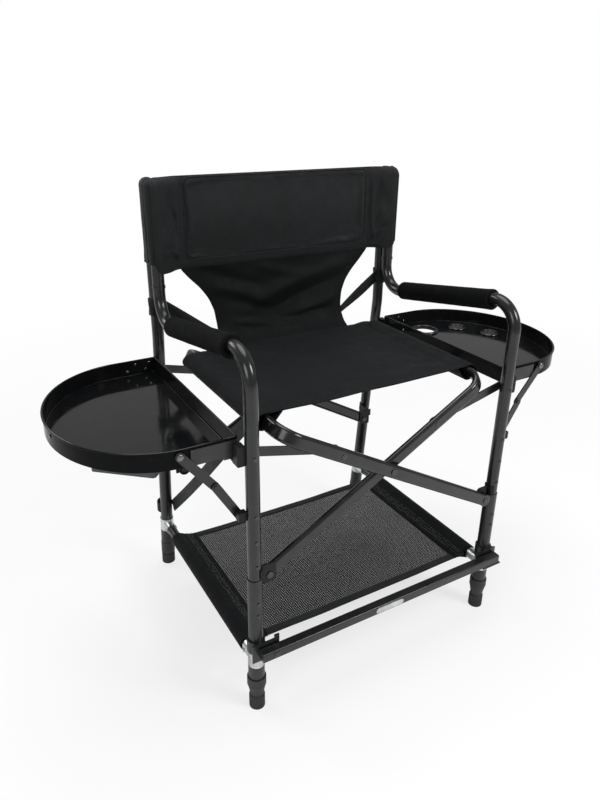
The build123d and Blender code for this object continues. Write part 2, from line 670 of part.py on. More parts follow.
def brace_lower(side, end):
    """Link from the leg, one layer further out, with the elbow rivet's head."""
    near = 2.7 + BRACE_T + GAP
    span = layer_y(end, near, near + BRACE_T)
    elbow = brace_elbow()
    link = brace_link(side, elbow, BRACE_LEG, span)
    link += rod_y(side * elbow[0], elbow[1], *layer_y(end, near + BRACE_T, near + BRACE_T + 1.8), 4.5)
    return link - rod_y(side * BRACE_LEG[0], BRACE_LEG[1], span[0] - 4, span[1] + 4, PIN_R - 1 + RUNNING)


def tray_pin(side, end):
    """Rivet that holds the upper brace link to the tray's wall."""
    x, z = side * BRACE_TRAY[0], BRACE_TRAY[1]
    shank = rod_y(x, z, *layer_y(end, -1.2, 5.5), PIN_R - 1)
    head = rod_y(x, z, *layer_y(end, 5.4, 7.2), 5.5)
    return shank + head


def tray_fittings(side):
    """Hinge plates and brace rivets on the tray's two end walls."""
    pieces = []
    for end in ENDS:
        pieces.append(hinge_plate(side, end))
        pieces.append(tray_pin(side, end))
    return pieces


# ---------------------------------------------------------------- telescopic feet
def extension_tube(side, end):
    tube = pole(SLEEVE_R - SLEEVE_WALL - 0.08, FOOT_Z - 20, TUBE_END_Z - 6)
    return leg_place(side, end) * (tube - pole(SLEEVE_R - 2 * SLEEVE_WALL, FOOT_Z - 21, TUBE_END_Z))


def lock_collar(side, end):
    """Twist collar: wide at the top and tapered on the front legs, nearly straight at the rear."""
    top = COLLAR_Z[end]
    bore = SLEEVE_R - SLEEVE_WALL
    if end == "front":
        waist = 13.8
        body = pole(19, 58, top) + Pos(0, 0, (35 + 58) / 2) * Cone(waist, 18.4, 58 - 35)
    else:
        waist = 15.2
        body = pole(17, 34, top)
    body = fillet(body.edges().group_by(Axis.Z)[-1], 1.5)
    body += pole(waist, FOOT_Z + 1, 36)
    return leg_place(side, end) * (body - pole(bore, FOOT_Z - 5, top + 5))


def rubber_foot(side, end):
    """Boot on the end of the extension, cut flat by the floor."""
    radius = 15.9 if end == "front" else 16.4
    bore = SLEEVE_R - SLEEVE_WALL - 0.02
    boot = pole(radius, -10, FOOT_Z)
    boot = fillet(boot.edges().group_by(Axis.Z)[-1], 3)
    boot -= pole(bore, FOOT_Z - 20, FOOT_Z + 1)
    boot = leg_place(side, end) * boot
    return boot - block((-600, 600), (-600, 600), (-60, 0))


# ---------------------------------------------------------------- assembly
def save_side_frames():
    for name, side in SIDES.items():
        save(name + "_arm_tube", arm_tube(side))
        save(name + "_rear_leg_tube", rear_leg_tube(side))
        save(name + "_back_post", back_post(side))
        save(name + "_arm_pad", arm_pad(side))
        save(name + "_leg_sleeves", [leg_sleeve(side, end) for end in ENDS])
        save(name + "_corner_brackets", [corner_bracket(side, end) for end in ENDS])
        save(name + "_shelf_tube", shelf_tube(side))
        brackets = [ear_bracket(side, end) for end in ENDS]
        brackets += [leg_lug(side, end, TRAY_PIVOT, 37, 2.6) for end in ENDS]
        brackets += [leg_lug(side, end, BRACE_LEG, 18, 9.4) for end in ENDS]
        save(name + "_leg_brackets", brackets)
        save(name + "_footrest_clamp", footrest_clamp(side))
        save(name + "_leg_fasteners", leg_fasteners(side))
        save(name + "_back_sleeve", back_sleeve(side))
    save("carry_strap", carry_strap())


def save_scissor():
    save("x_frame_a_tube", scissor_tube(-1))
    save("x_frame_b_tube", scissor_tube(1))
    save("x_frame_a_pins", [cross_pivot(end) for end in ENDS] + member_rivets(-1))
    save("x_frame_b_rivets", member_rivets(1))
    for name, side in SIDES.items():
        save(name + "_stays", [stay(side, end) for end in ENDS])


def save_cloth():
    for name, side in SIDES.items():
        save("seat_" + name + "_half", seat_half(side))
        save("back_" + name + "_half", back_half(side))
        save("shelf_" + name + "_half", shelf_half(side))


def save_trays():
    for name, side in SIDES.items():
        save(name + "_tray", tray(side))
        save(name + "_tray_fittings", tray_fittings(side))
        save(name + "_brace_upper", [brace_upper(side, end) for end in ENDS])
        save(name + "_brace_lower", [brace_lower(side, end) for end in ENDS])
    save("left_tray_box", tray_box())
    save("right_tray_holders", tray_holders())


def save_feet():
    for name, side in SIDES.items():
        for end in ENDS:
            prefix = end + "_" + name
            save(prefix + "_extension_tube", extension_tube(side, end))
            save(prefix + "_lock_collar", lock_collar(side, end))
            save(prefix + "_rubber_foot", rubber_foot(side, end))


os.makedirs("parts", exist_ok=True)
save_side_frames()
save_scissor()
save_cloth()
save("footrest_bar", footrest_bar())
save("blank_plate", blank_plate())
save_trays()
save_feet()
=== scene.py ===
"""Looks of a tall folding director chair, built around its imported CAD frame.

Lengths are metres. +Z is up, the chair faces -Y, and X = 0 is its middle plane.
"""

import math

import bpy
import numpy as np
from mathutils import Matrix, Vector


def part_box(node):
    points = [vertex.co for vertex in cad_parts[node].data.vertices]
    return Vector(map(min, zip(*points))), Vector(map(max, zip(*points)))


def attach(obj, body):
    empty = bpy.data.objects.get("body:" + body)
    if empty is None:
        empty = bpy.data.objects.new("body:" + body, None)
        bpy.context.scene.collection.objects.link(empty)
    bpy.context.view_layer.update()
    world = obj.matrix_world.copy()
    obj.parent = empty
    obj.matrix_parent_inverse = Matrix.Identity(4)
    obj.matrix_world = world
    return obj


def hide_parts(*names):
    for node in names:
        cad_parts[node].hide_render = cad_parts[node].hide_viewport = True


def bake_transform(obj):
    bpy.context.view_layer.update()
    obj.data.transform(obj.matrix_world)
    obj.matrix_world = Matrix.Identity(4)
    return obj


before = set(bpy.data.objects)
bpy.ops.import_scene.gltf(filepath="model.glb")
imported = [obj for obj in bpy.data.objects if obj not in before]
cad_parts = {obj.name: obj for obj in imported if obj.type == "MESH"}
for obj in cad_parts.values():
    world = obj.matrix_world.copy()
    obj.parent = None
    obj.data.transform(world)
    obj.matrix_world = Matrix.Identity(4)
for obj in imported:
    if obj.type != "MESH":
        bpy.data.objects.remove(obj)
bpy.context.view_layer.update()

MM = 0.001
SIDES = {"left": -1, "right": 1}


# ---------------------------------------------------------------- places taken from the frame
def box_mm(node):
    """Lowest and highest corners of a CAD node, in millimetres."""
    low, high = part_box(node)
    return np.array(low) / MM, np.array(high) / MM


SEAT_LOW, SEAT_HIGH = box_mm("seat_right_half")
SLEEVE_R = (SEAT_HIGH[2] - SEAT_LOW[2]) / 2
RAIL_Z = (SEAT_HIGH[2] + SEAT_LOW[2]) / 2
RAIL_X = SEAT_HIGH[0] - SLEEVE_R
BACK_LOW, BACK_HIGH = box_mm("back_right_half")
POCKET_LOW, POCKET_HIGH = box_mm("right_back_sleeve")
POST_R = 12.7
POCKET_R = (POCKET_HIGH[0] - POCKET_LOW[0]) / 2
POST_X = (POCKET_HIGH[0] + POCKET_LOW[0]) / 2
RISER_Y = POCKET_LOW[1] + POCKET_R
POST_Y = POCKET_HIGH[1] - POCKET_R
SHELF_LOW, SHELF_HIGH = box_mm("shelf_right_half")
SHELF_SLEEVE_R = (SHELF_HIGH[2] - SHELF_LOW[2]) / 2
SHELF_Z = (SHELF_HIGH[2] + SHELF_LOW[2]) / 2
SHELF_X = SHELF_HIGH[0] - SHELF_SLEEVE_R

BAND_TOP = BACK_HIGH[2]
BAND_HEIGHT = 188.0
BAND_BOTTOM = BAND_TOP - BAND_HEIGHT
BAND_SEAM_Y = BACK_LOW[1] + 7
WAIST_X = 163.0
BAND_SHOULDER_X = 239.0


# ---------------------------------------------------------------- mesh making
def add_object(name, data):
    """New object of the scene that shows the given data."""
    made = bpy.data.objects.new(name, data)
    bpy.context.scene.collection.objects.link(made)
    return made


class Shape:
    """Vertices and faces gathered for one object, in millimetres."""

    def __init__(self):
        self.points = []
        self.faces = []

    def add(self, points, faces):
        start = len(self.points)
        self.points.extend(np.asarray(points, float).reshape(-1, 3).tolist())
        self.faces.extend([tuple(start + i for i in face) for face in faces])

    def build(self, name, material, slot, flat=False):
        mesh = bpy.data.meshes.new(name)
        mesh.from_pydata((np.array(self.points) * MM).tolist(), [], self.faces)
        mesh.validate()
        mesh.materials.append(material)
        mesh.polygons.foreach_set("use_smooth", [not flat] * len(mesh.polygons))
        piece = add_object(name, mesh)
        return piece


def neighbours(count):
    """Every index below count with the next one, round to the first."""
    return [(i, (i + 1) % count) for i in range(count)]


def grid_faces(rows, columns, start=0, wrap=False, flip=False):
    """Quads of a grid of points numbered row by row. wrap joins the last row to the first."""
    faces = []
    for row in range(rows if wrap else rows - 1):
        below = (row + 1) % rows
        for column in range(columns - 1):
            quad = (row * columns + column, below * columns + column,
                    below * columns + column + 1, row * columns + column + 1)
            quad = tuple(start + i for i in quad)
            faces.append(quad[::-1] if flip else quad)
    return faces


def grid_rim(rows, columns):
    """Indexes round the edge of a grid, in order."""
    top = list(range(columns))
    right = [r * columns + columns - 1 for r in range(1, rows)]
    bottom = [(rows - 1) * columns + c for c in range(columns - 2, -1, -1)]
    left = [r * columns for r in range(rows - 2, 0, -1)]
    return top + right + bottom + left


def closed_pair(front, back):
    """Points and faces of the body between two grids of the same size."""
    rows, columns = front.shape[:2]
    count = rows * columns
    faces = grid_faces(rows, columns) + grid_faces(rows, columns, start=count, flip=True)
    rim = grid_rim(rows, columns)
    for i, j in neighbours(len(rim)):
        faces.append((rim[i], rim[j], rim[j] + count, rim[i] + count))
    return np.stack([front, back]), faces


def ring_faces(count, sides, closed=False):
    """Faces of a row of rings. closed joins the last ring to the first, otherwise both ends are capped."""
    faces = []
    for ring, after in neighbours(count)[:count if closed else count - 1]:
        for i, j in neighbours(sides):
            faces.append((ring * sides + i, ring * sides + j, after * sides + j, after * sides + i))
    if not closed:
        faces.append(tuple(range(sides))[::-1])
        faces.append(tuple((count - 1) * sides + i for i in range(sides)))
    return faces


def grid_normals(grid):
    """Unit normals of a grid of points."""
    normal = np.cross(np.gradient(grid, axis=0), np.gradient(grid, axis=1))
    length = np.linalg.norm(normal, axis=2, keepdims=True)
    return normal / np.maximum(length, 1e-9)


def thick_sheet(middle, thickness):
    """Closed sheet of cloth round a grid of middle points."""
    half = grid_normals(middle) * thickness / 2
    return closed_pair(middle + half, middle - half)


def smooth_path(points, steps):
    """Points evenly spaced along a smooth curve through the given ones."""
    points = np.asarray(points, float)
    padded = np.concatenate([[2 * points[0] - points[1]], points, [2 * points[-1] - points[-2]]])
    curve = []
    for i in range(1, len(padded) - 2):
        before, start, stop, after = padded[i - 1:i + 3]
        for t in np.linspace(0, 1, 24, endpoint=False):
            curve.append(0.5 * (2 * start + (stop - before) * t
                                + (2 * before - 5 * start + 4 * stop - after) * t ** 2
                                + (3 * start - before - 3 * stop + after) * t ** 3))
    curve.append(points[-1])
    return spaced(np.array(curve), steps)


def points_along(curve, lengths, wanted):
    """Points of a curve at the wanted distances from its start."""
    return np.stack([np.interp(wanted, lengths, column) for column in curve.T], axis=1)


def spaced(curve, steps):
    """The same curve as a given number of evenly spaced points."""
    lengths = np.concatenate([[0], np.cumsum(np.linalg.norm(np.diff(curve, axis=0), axis=1))])
    return points_along(curve, lengths, np.linspace(0, lengths[-1], steps))


def path_length(curve):
    return float(np.linalg.norm(np.diff(curve, axis=0), axis=1).sum())


def path_frames(path, closed):
    """Side and up vectors along a path, turning as little as possible."""
    if closed:
        tangent = np.roll(path, -1, axis=0) - np.roll(path, 1, axis=0)
    else:
        tangent = np.gradient(path, axis=0)
    tangent /= np.linalg.norm(tangent, axis=1, keepdims=True)
    helper = np.array([0, 0, 1.0]) if abs(tangent[0][2]) < 0.9 else np.array([0, 1.0, 0])
    side = np.cross(tangent[0], helper)
    sides = []
    for direction in tangent:
        side = side - direction * np.dot(side, direction)
        side = side / np.linalg.norm(side)
        sides.append(side)
    return np.array(sides), np.cross(tangent, sides)


def cord(path, radius, sides=8, closed=False, flatten=1.0):
    """Round cord along a path. radius may be one number or one per point."""
    path = np.asarray(path, float)
    side, up = path_frames(path, closed)
    radius = np.broadcast_to(np.asarray(radius, float), len(path))[:, None, None]
    angles = np.linspace(0, 2 * math.pi, sides, endpoint=False)[None, :, None]
    spokes = np.cos(angles) * side[:, None] + flatten * np.sin(angles) * up[:, None]
    return path[:, None] + radius * spokes, ring_faces(len(path), sides, closed)


STITCH_PITCH = 4.2
STITCH_LENGTH = 3.0
STITCH_R = 0.42


def stitches(path):
    """Separate thread stitches along a path."""
    path = np.asarray(path, float)
    path = spaced(path, max(3, int(path_length(path) / 1.5)))
    total = path_length(path)
    lengths = np.linspace(0, total, len(path))
    gathered = Shape()
    for start in np.arange(STITCH_PITCH / 2, total - STITCH_LENGTH, STITCH_PITCH):
        run = points_along(path, lengths, np.linspace(start, start + STITCH_LENGTH, 4))
        gathered.add(*cord(run, STITCH_R * np.array([0.5, 1.0, 1.0, 0.5]), sides=6))
    return gathered.points, gathered.faces


def lathe(profile, centre, axis="Z", sides=48, closed=False):
    """Profile of (radius, height) turned about the Z axis, or about Y with its height towards -Y."""
    angles = np.linspace(0, 2 * math.pi, sides, endpoint=False)
    radius, height = np.array(profile, float).T[:, :, None]
    points = np.stack([radius * np.cos(angles), radius * np.sin(angles), height + 0 * angles], axis=2)
    if axis == "Y":
        points = points[..., [0, 2, 1]] * np.array([1, -1, 1])
    return points + np.array(centre), ring_faces(len(profile), sides, closed)


def rivet_head(centre, radius, height):
    """Low domed head on a wall that faces -Y, or +Y when height is negative."""
    profile = [(radius, 0), (radius, height * 0.35), (radius * 0.86, height * 0.75),
               (radius * 0.5, height), (radius * 0.12, height * 1.04)]
    return lathe(profile, centre, "Y", 24)


def ripple(a, b, seed, size):
    """Smooth random field of two coordinates, about -1 to 1, the same every run."""
    draw = np.random.default_rng(seed)
    total = np.zeros(np.broadcast(a, b).shape)
    for _ in range(6):
        angle = draw.uniform(0, 2 * math.pi)
        wave = size * draw.uniform(0.6, 1.6)
        phase = draw.uniform(0, 2 * math.pi)
        total = total + np.sin((a * math.cos(angle) + b * math.sin(angle)) * 2 * math.pi / wave + phase)
    return total / 3.5


def folds(a, b, lines):
    """Sum of soft ridges. A line is start a, start b, end a, end b, width and height."""
    total = np.zeros(np.broadcast(a, b).shape)
    for a0, b0, a1, b1, width, height in lines:
        along = np.array([a1 - a0, b1 - b0], float)
        length = np.linalg.norm(along)
        along /= length
        t = ((a - a0) * along[0] + (b - b0) * along[1]) / length
        off = (a - a0) * -along[1] + (b - b0) * along[0]
        bend = width * 0.5 * np.sin(t * 5 + a0)
        fade = np.clip(t * 3.5, 0, 1) * np.clip((1 - t) * 3.5, 0, 1)
        total = total + height * np.exp(-((off - bend) / width) ** 2) * fade * fade * (3 - 2 * fade)
    return total


def ease(value, low, high):
    """0 below low, 1 above high and a smooth step between."""
    t = np.clip((np.asarray(value, float) - low) / (high - low), 0, 1)
    return t * t * (3 - 2 * t)


def subdivide(piece):
    """Rounds a piece's mesh off with one level of subdivision."""
    modifier = piece.modifiers.new("smooth", "SUBSURF")
    modifier.levels = 1
    modifier.render_levels = 1
    bpy.context.view_layer.update()
    graph = bpy.context.evaluated_depsgraph_get()
    mesh = bpy.data.meshes.new_from_object(piece.evaluated_get(graph))
    piece.modifiers.clear()
    piece.data = mesh
    mesh.polygons.foreach_set("use_smooth", [True] * len(mesh.polygons))
    return piece


CLOTH_FRAMES = 20


def swell(piece, is_pinned, pressure, cap, slack):
    """Runs Cloth on a piece. is_pinned picks vertices by place. No point moves more than cap mm."""
    mesh = piece.data
    rest = np.array([v.co for v in mesh.vertices]) / MM
    group = piece.vertex_groups.new(name="pinned")
    for index in np.nonzero(is_pinned(rest))[0]:
        group.add([int(index)], 1.0, "REPLACE")
    cloth = piece.modifiers.new("cloth", "CLOTH")
    settings = cloth.settings
    settings.vertex_group_mass = group.name
    settings.use_pressure = True
    settings.uniform_pressure_force = pressure
    settings.effector_weights.gravity = 0
    settings.shrink_min = -slack
    settings.quality = 6
    settings.tension_stiffness = 15
    settings.compression_stiffness = 15
    settings.bending_stiffness = 0.6
    settings.air_damping = 4
    cloth.collision_settings.use_collision = False
    cloth.point_cache.frame_start = 1
    cloth.point_cache.frame_end = CLOTH_FRAMES
    for step in range(1, CLOTH_FRAMES + 1):
        bpy.context.scene.frame_set(step)
    graph = bpy.context.evaluated_depsgraph_get()
    shift = np.array([v.co for v in piece.evaluated_get(graph).data.vertices]) / MM - rest
    piece.modifiers.clear()
    bpy.context.scene.frame_set(1)
    size = np.maximum(np.linalg.norm(shift, axis=1, keepdims=True), 1e-9)
    placed = rest + shift * np.minimum(1, cap / size)
    mesh.vertices.foreach_set("co", (placed * MM).astype(np.float32).ravel())
    mesh.update()


# ---------------------------------------------------------------- materials
def new_material(name, color, **values):
    """Principled material. Underscores in the keywords stand for spaces in the inputs' names."""
    material = bpy.data.materials.new(name)
    material.use_nodes = True
    shader = material.node_tree.nodes["Principled BSDF"]
    shader.inputs["Base Color"].default_value = (*color, 1)
    for key, value in values.items():
        shader.inputs[key.replace("_", " ")].default_value = value
    return material, material.node_tree, shader


def node(tree, kind, **values):
    """Shader node with some of its inputs set."""
    made = tree.nodes.new(kind)
    for key, value in values.items():
        made.inputs[key.replace("_", " ")].default_value = value
    return made


def coordinates(tree, scale=(1, 1, 1)):
    """Object coordinates, stretched by scale."""
    source = tree.nodes.new("ShaderNodeTexCoord")
    mapping = tree.nodes.new("ShaderNodeMapping")
    mapping.inputs["Scale"].default_value = scale
    tree.links.new(source.outputs["Object"], mapping.inputs["Vector"])
    return mapping.outputs["Vector"]


def noise(tree, scale, detail=3.0, rough=0.55, stretch=(1, 1, 1)):
    made = node(tree, "ShaderNodeTexNoise", Scale=scale, Detail=detail, Roughness=rough)
    tree.links.new(coordinates(tree, stretch), made.inputs["Vector"])
    return made.outputs["Fac"]


def spread(tree, value, low, high, start=0.3, stop=0.7):
    """Maps a value from start..stop to low..high."""
    made = tree.nodes.new("ShaderNodeMapRange")
    for key, number in (("From Min", start), ("From Max", stop), ("To Min", low), ("To Max", high)):
        made.inputs[key].default_value = number
    tree.links.new(value, made.inputs["Value"])
    return made.outputs["Result"]


def tint(tree, shader, factor, dark, light):
    """Colours a shader from dark to light by a factor."""
    made = tree.nodes.new("ShaderNodeMix")
    made.data_type = "RGBA"
    made.inputs["A"].default_value = (*dark, 1)
    made.inputs["B"].default_value = (*light, 1)
    tree.links.new(factor, made.inputs["Factor"])
    tree.links.new(made.outputs["Result"], shader.inputs["Base Color"])


def roughen(tree, shader, pattern, low, high, start=0.3, stop=0.7):
    """Varies a shader's roughness from low to high by a pattern."""
    tree.links.new(spread(tree, pattern, low, high, start, stop), shader.inputs["Roughness"])


def math_node(tree, operation, first, second=0.0):
    made = tree.nodes.new("ShaderNodeMath")
    made.operation = operation
    for socket, value in zip(made.inputs, (first, second)):
        if isinstance(value, (int, float)):
            socket.default_value = value
        else:
            tree.links.new(value, socket)
    return made.outputs[0]


def bump(tree, shader, layers):
    """Chains bumps of (height, strength, depth in mm) onto the shader's normal."""
    normal = None
    for height, strength, depth in layers:
        made = node(tree, "ShaderNodeBump", Strength=strength, Distance=depth * MM)
        tree.links.new(height, made.inputs["Height"])
        if normal:
            tree.links.new(normal, made.inputs["Normal"])
        normal = made.outputs["Normal"]
    tree.links.new(normal, shader.inputs["Normal"])


def edge_wear(tree, width=1.2):
    """Near 1 on sharp edges, broken up by noise, and 0 on open faces."""
    bevel = tree.nodes.new("ShaderNodeBevel")
    bevel.inputs["Radius"].default_value = width * MM
    geometry = tree.nodes.new("ShaderNodeNewGeometry")
    dot = tree.nodes.new("ShaderNodeVectorMath")
    dot.operation = "DOT_PRODUCT"
    tree.links.new(bevel.outputs["Normal"], dot.inputs[0])
    tree.links.new(geometry.outputs["Normal"], dot.inputs[1])
    edge = spread(tree, dot.outputs["Value"], 1, 0, start=0.75, stop=0.99)
    return math_node(tree, "MULTIPLY", edge, spread(tree, noise(tree, 160, 5), 0, 1, 0.42, 0.66))


def powder_coat(name, gloss):
    """Black powder coat: orange peel, faint dust and edges rubbed a little lighter."""
    material, tree, shader = new_material(name, (0.008, 0.0083, 0.0088), Roughness=gloss,
                                          Specular_IOR_Level=0.42, Coat_Weight=0.2, Coat_Roughness=0.12)
    dust = spread(tree, noise(tree, 22, 6, 0.65), 0, 1, 0.45, 0.8)
    rubbed = math_node(tree, "MAXIMUM", math_node(tree, "MULTIPLY", dust, 0.35), edge_wear(tree))
    tint(tree, shader, rubbed, (0.0065, 0.0068, 0.0072), (0.04, 0.042, 0.045))
    roughen(tree, shader, noise(tree, 34, 5), gloss - 0.06, gloss + 0.1)
    bump(tree, shader, [(noise(tree, 650, 2), 0.10, 0.25), (noise(tree, 60, 3), 0.08, 0.5)])
    return material


def plated(name, color):
    """Bright plated sheet with fine drawn grain and smudges."""
    material, tree, shader = new_material(name, color, Roughness=0.25, Metallic=1.0)
    smudge = spread(tree, noise(tree, 28, 5, 0.7), 0, 1, 0.4, 0.75)
    tint(tree, shader, smudge, color, tuple(0.62 * c for c in color))
    roughen(tree, shader, noise(tree, 45, 6, 0.7), 0.16, 0.38)
    grain = noise(tree, 420, 3, 0.6, (1, 1, 18))
    bump(tree, shader, [(grain, 0.12, 0.2), (noise(tree, 90, 6), 0.05, 0.3)])
    return material


def dark_rivet():
    """Darkened steel rivets and pins, rubbed brighter on their crowns."""
    material, tree, shader = new_material("dark_rivet", (0.12, 0.12, 0.125), Roughness=0.32, Metallic=0.9)
    tint(tree, shader, edge_wear(tree, 0.8), (0.075, 0.076, 0.08), (0.45, 0.45, 0.46))
    roughen(tree, shader, noise(tree, 200, 4), 0.24, 0.46)
    bump(tree, shader, [(noise(tree, 500, 3), 0.15, 0.15)])
    return material


def woven_height(tree, across, along, pitch):
    """Plain weave in two object axes: over-under threads, about pitch mm apart."""
    split = tree.nodes.new("ShaderNodeSeparateXYZ")
    tree.links.new(coordinates(tree), split.inputs["Vector"])
    turn = math.pi / (pitch * MM)
    first, second = [math_node(tree, "SINE", math_node(tree, "MULTIPLY", split.outputs[axis], turn))
                     for axis in (across, along)]
    crossing = math_node(tree, "MULTIPLY", first, second)
    ribs = math_node(tree, "ADD", math_node(tree, "ABSOLUTE", first), math_node(tree, "ABSOLUTE", second))
    return math_node(tree, "ADD", math_node(tree, "MULTIPLY", crossing, 0.5),
                     math_node(tree, "MULTIPLY", ribs, 0.35))


def fabric(name, across, along, dark, light, pitch=0.75, sheen=0.08, gloss=0.62, depth=0.35, shine=0.2):
    """Coated polyester: weave, faint slubs, soft sheen and uneven wear."""
    material, tree, shader = new_material(
        name, dark, Roughness=gloss, Specular_IOR_Level=shine, Sheen_Weight=sheen, Sheen_Roughness=0.45,
        Sheen_Tint=(0.75, 0.8, 0.85, 1))
    weave = woven_height(tree, across, along, pitch)
    worn = math_node(tree, "MULTIPLY", spread(tree, noise(tree, 9, 5, 0.6), 0, 1, 0.35, 0.75), 0.6)
    mixed = math_node(tree, "ADD", worn, math_node(tree, "MULTIPLY", weave, 0.4))
    tint(tree, shader, mixed, dark, light)
    roughen(tree, shader, noise(tree, 40, 4), gloss - 0.08, gloss + 0.12)
    slub = noise(tree, 260, 4, 0.7)
    bump(tree, shader, [(weave, 0.5, depth), (slub, 0.12, 0.3), (noise(tree, 26, 5), 0.10, 2.0)])
    return material


def webbing(name, across, along):
    """Ribbed woven tape."""
    return fabric(name, across, along, (0.008, 0.0085, 0.009), (0.022, 0.023, 0.025), pitch=1.6,
                  sheen=0.12, gloss=0.7, depth=0.7)


def foam():
    """Closed-cell foam: pores, matt skin and soft grey scuffs."""
    material, tree, shader = new_material("foam", (0.014, 0.0145, 0.015), Roughness=0.88,
                                          Specular_IOR_Level=0.1)
    scuff = spread(tree, noise(tree, 18, 6, 0.7), 0, 1, 0.5, 0.85)
    tint(tree, shader, scuff, (0.004, 0.0043, 0.0046), (0.009, 0.0095, 0.01))
    roughen(tree, shader, noise(tree, 70, 4), 0.78, 0.95)
    pores = node(tree, "ShaderNodeTexVoronoi", Scale=700.0)
    tree.links.new(coordinates(tree), pores.inputs["Vector"])
    bump(tree, shader, [(pores.outputs["Distance"], 0.12, 0.2), (noise(tree, 45, 5), 0.1, 0.4)])
    return material


def gloss_plastic():
    """Black gloss tray plastic: faint scratches, dust and waviness. Level faces shine, walls hardly do."""
    material, tree, shader = new_material("tray_gloss", (0.006, 0.0062, 0.0068), Roughness=0.14)
    dust = spread(tree, noise(tree, 55, 8, 0.8), 0, 1, 0.55, 0.9)
    tint(tree, shader, dust, (0.0055, 0.0058, 0.0063), (0.022, 0.023, 0.025))
    roughen(tree, shader, noise(tree, 30, 7, 0.7), 0.07, 0.2, 0.4, 0.8)
    # Painted reflection: the specular strength follows which way a face points, strong on level faces and
    # weak on walls.
    geometry = tree.nodes.new("ShaderNodeNewGeometry")
    split = tree.nodes.new("ShaderNodeSeparateXYZ")
    tree.links.new(geometry.outputs["True Normal"], split.inputs["Vector"])
    level = spread(tree, split.outputs["Z"], 0.04, 0.62, 0.5, 0.95)
    tree.links.new(level, shader.inputs["Specular IOR Level"])
    scratches = noise(tree, 150, 4, 0.6, (1, 12, 1))
    bump(tree, shader, [(noise(tree, 12, 2), 0.04, 1.0), (scratches, 0.02, 0.1)])
    return material


def moulded(name, dark, light, rough, grain=520, shine=0.5):
    """Moulded plastic or rubber with a fine pebbled skin."""
    material, tree, shader = new_material(name, dark, Roughness=rough, Specular_IOR_Level=shine)
    dust = spread(tree, noise(tree, 30, 7, 0.7), 0, 0.6, 0.45, 0.8)
    tint(tree, shader, math_node(tree, "MAXIMUM", dust, edge_wear(tree, 0.9)), dark, light)
    roughen(tree, shader, noise(tree, 60, 4), rough - 0.08, rough + 0.1)
    bump(tree, shader, [(noise(tree, grain, 3), 0.22, 0.3), (noise(tree, 40, 3), 0.08, 0.6)])
    return material


def thread(name, dark, light):
    """Twisted sewing thread."""
    material, tree, shader = new_material(name, dark, Roughness=0.7, Specular_IOR_Level=0.15)
    twist = noise(tree, 900, 2, 0.5, (1, 1, 3))
    tint(tree, shader, twist, dark, light)
    bump(tree, shader, [(twist, 0.5, 0.2)])
    return material


POWDER = powder_coat("powder_coat", 0.3)
GLOSS_COAT = powder_coat("powder_coat_gloss", 0.19)
PLATE = plated("bright_plate", (0.70, 0.71, 0.72))
RIVET = dark_rivet()
BRIGHT_RIVET = plated("bright_rivet", (0.22, 0.225, 0.23))
# Painted shade: the same cloth as the back, made darker for the seat, which faces the top light; the seat
# hems and the shelf sleeves use it too.
SHADED_SEAT_CLOTH = fabric("seat_cloth", "X", "Y", dark=(0.0042, 0.0047, 0.005), light=(0.010, 0.0108, 0.0115),
                    sheen=0.03, gloss=0.68, shine=0.12)
BACK_CLOTH = fabric("back_cloth", "X", "Z", dark=(0.006, 0.0066, 0.007), light=(0.0135, 0.0145, 0.0155))
# Painted shade: the same cloth as the back, made darker for the panel below the band and its hems.
SHADED_WAIST_CLOTH = fabric("waist_cloth", "X", "Z", dark=(0.003, 0.0034, 0.0037), light=(0.0085, 0.0092, 0.0098),
                     sheen=0.02, gloss=0.66, shine=0.12)
SIDE_CLOTH = fabric("side_cloth", "Y", "Z", dark=(0.006, 0.0066, 0.007), light=(0.0135, 0.0145, 0.0155))
TAPE = webbing("tape", "X", "Y")
STRAP = webbing("strap_web", "Y", "Z")
FOAM = foam()
TRAY = gloss_plastic()
POCKET = moulded("tray_pocket", (0.035, 0.04, 0.047), (0.10, 0.11, 0.12), 0.45, 300)
MOULDED = moulded("moulded_black", (0.005, 0.0052, 0.0055), (0.022, 0.023, 0.024), 0.45, shine=0.25)
COLLAR = moulded("collar_black", (0.012, 0.0125, 0.013), (0.06, 0.062, 0.064), 0.5, 420)
RUBBER = moulded("foot_rubber", (0.010, 0.0105, 0.011), (0.07, 0.072, 0.074), 0.72, 700)
NET = moulded("net_strand", (0.009, 0.0094, 0.0099), (0.028, 0.0288, 0.03), 0.42, 900, shine=0.4)
THREAD = thread("thread", (0.008, 0.0084, 0.009), (0.024, 0.025, 0.027))
PALE_THREAD = thread("pale_thread", (0.05, 0.052, 0.054), (0.16, 0.165, 0.17))
SATIN = moulded("satin_plate", (0.02, 0.0205, 0.021), (0.065, 0.0665, 0.068), 0.34, 420, shine=0.4)

NODE_MATERIALS = {
    POWDER: ("shelf_tube", "footrest_clamp", "stays", "brace_upper", "brace_lower", "leg_sleeves",
             "rear_leg_tube", "extension_tube", "footrest_bar"),
    SATIN: ("tray_fittings",),
    GLOSS_COAT: ("arm_tube", "back_post", "x_frame_a_tube", "x_frame_b_tube"),
    PLATE: ("corner_brackets", "blank_plate"),
    RIVET: ("leg_fasteners", "x_frame_a_pins", "x_frame_b_rivets"),
    MOULDED: ("leg_brackets", "tray_holders"),
    TRAY: ("_tray",),
    POCKET: ("tray_box",),
    COLLAR: ("lock_collar",),
    RUBBER: ("rubber_foot",),
}


def paint_nodes():
    """Gives every CAD node that stays its material."""
    for material, endings in NODE_MATERIALS.items():
        for name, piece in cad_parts.items():
            if name.endswith(endings):
                piece.data.materials.clear()
                piece.data.materials.append(material)


# ---------------------------------------------------------------- seat
SEAT_SHEET = 2.2
SEAT_SAG = 5.0
SLEEVE_BULGE = 1.5      # the sleeve stands off the rail on its outer side
SEAT_FLAP = 34.0        # from the rail's middle to the sewn edge of the sleeve
SEAT_TOP = RAIL_Z + SLEEVE_R - SEAT_SHEET / 2

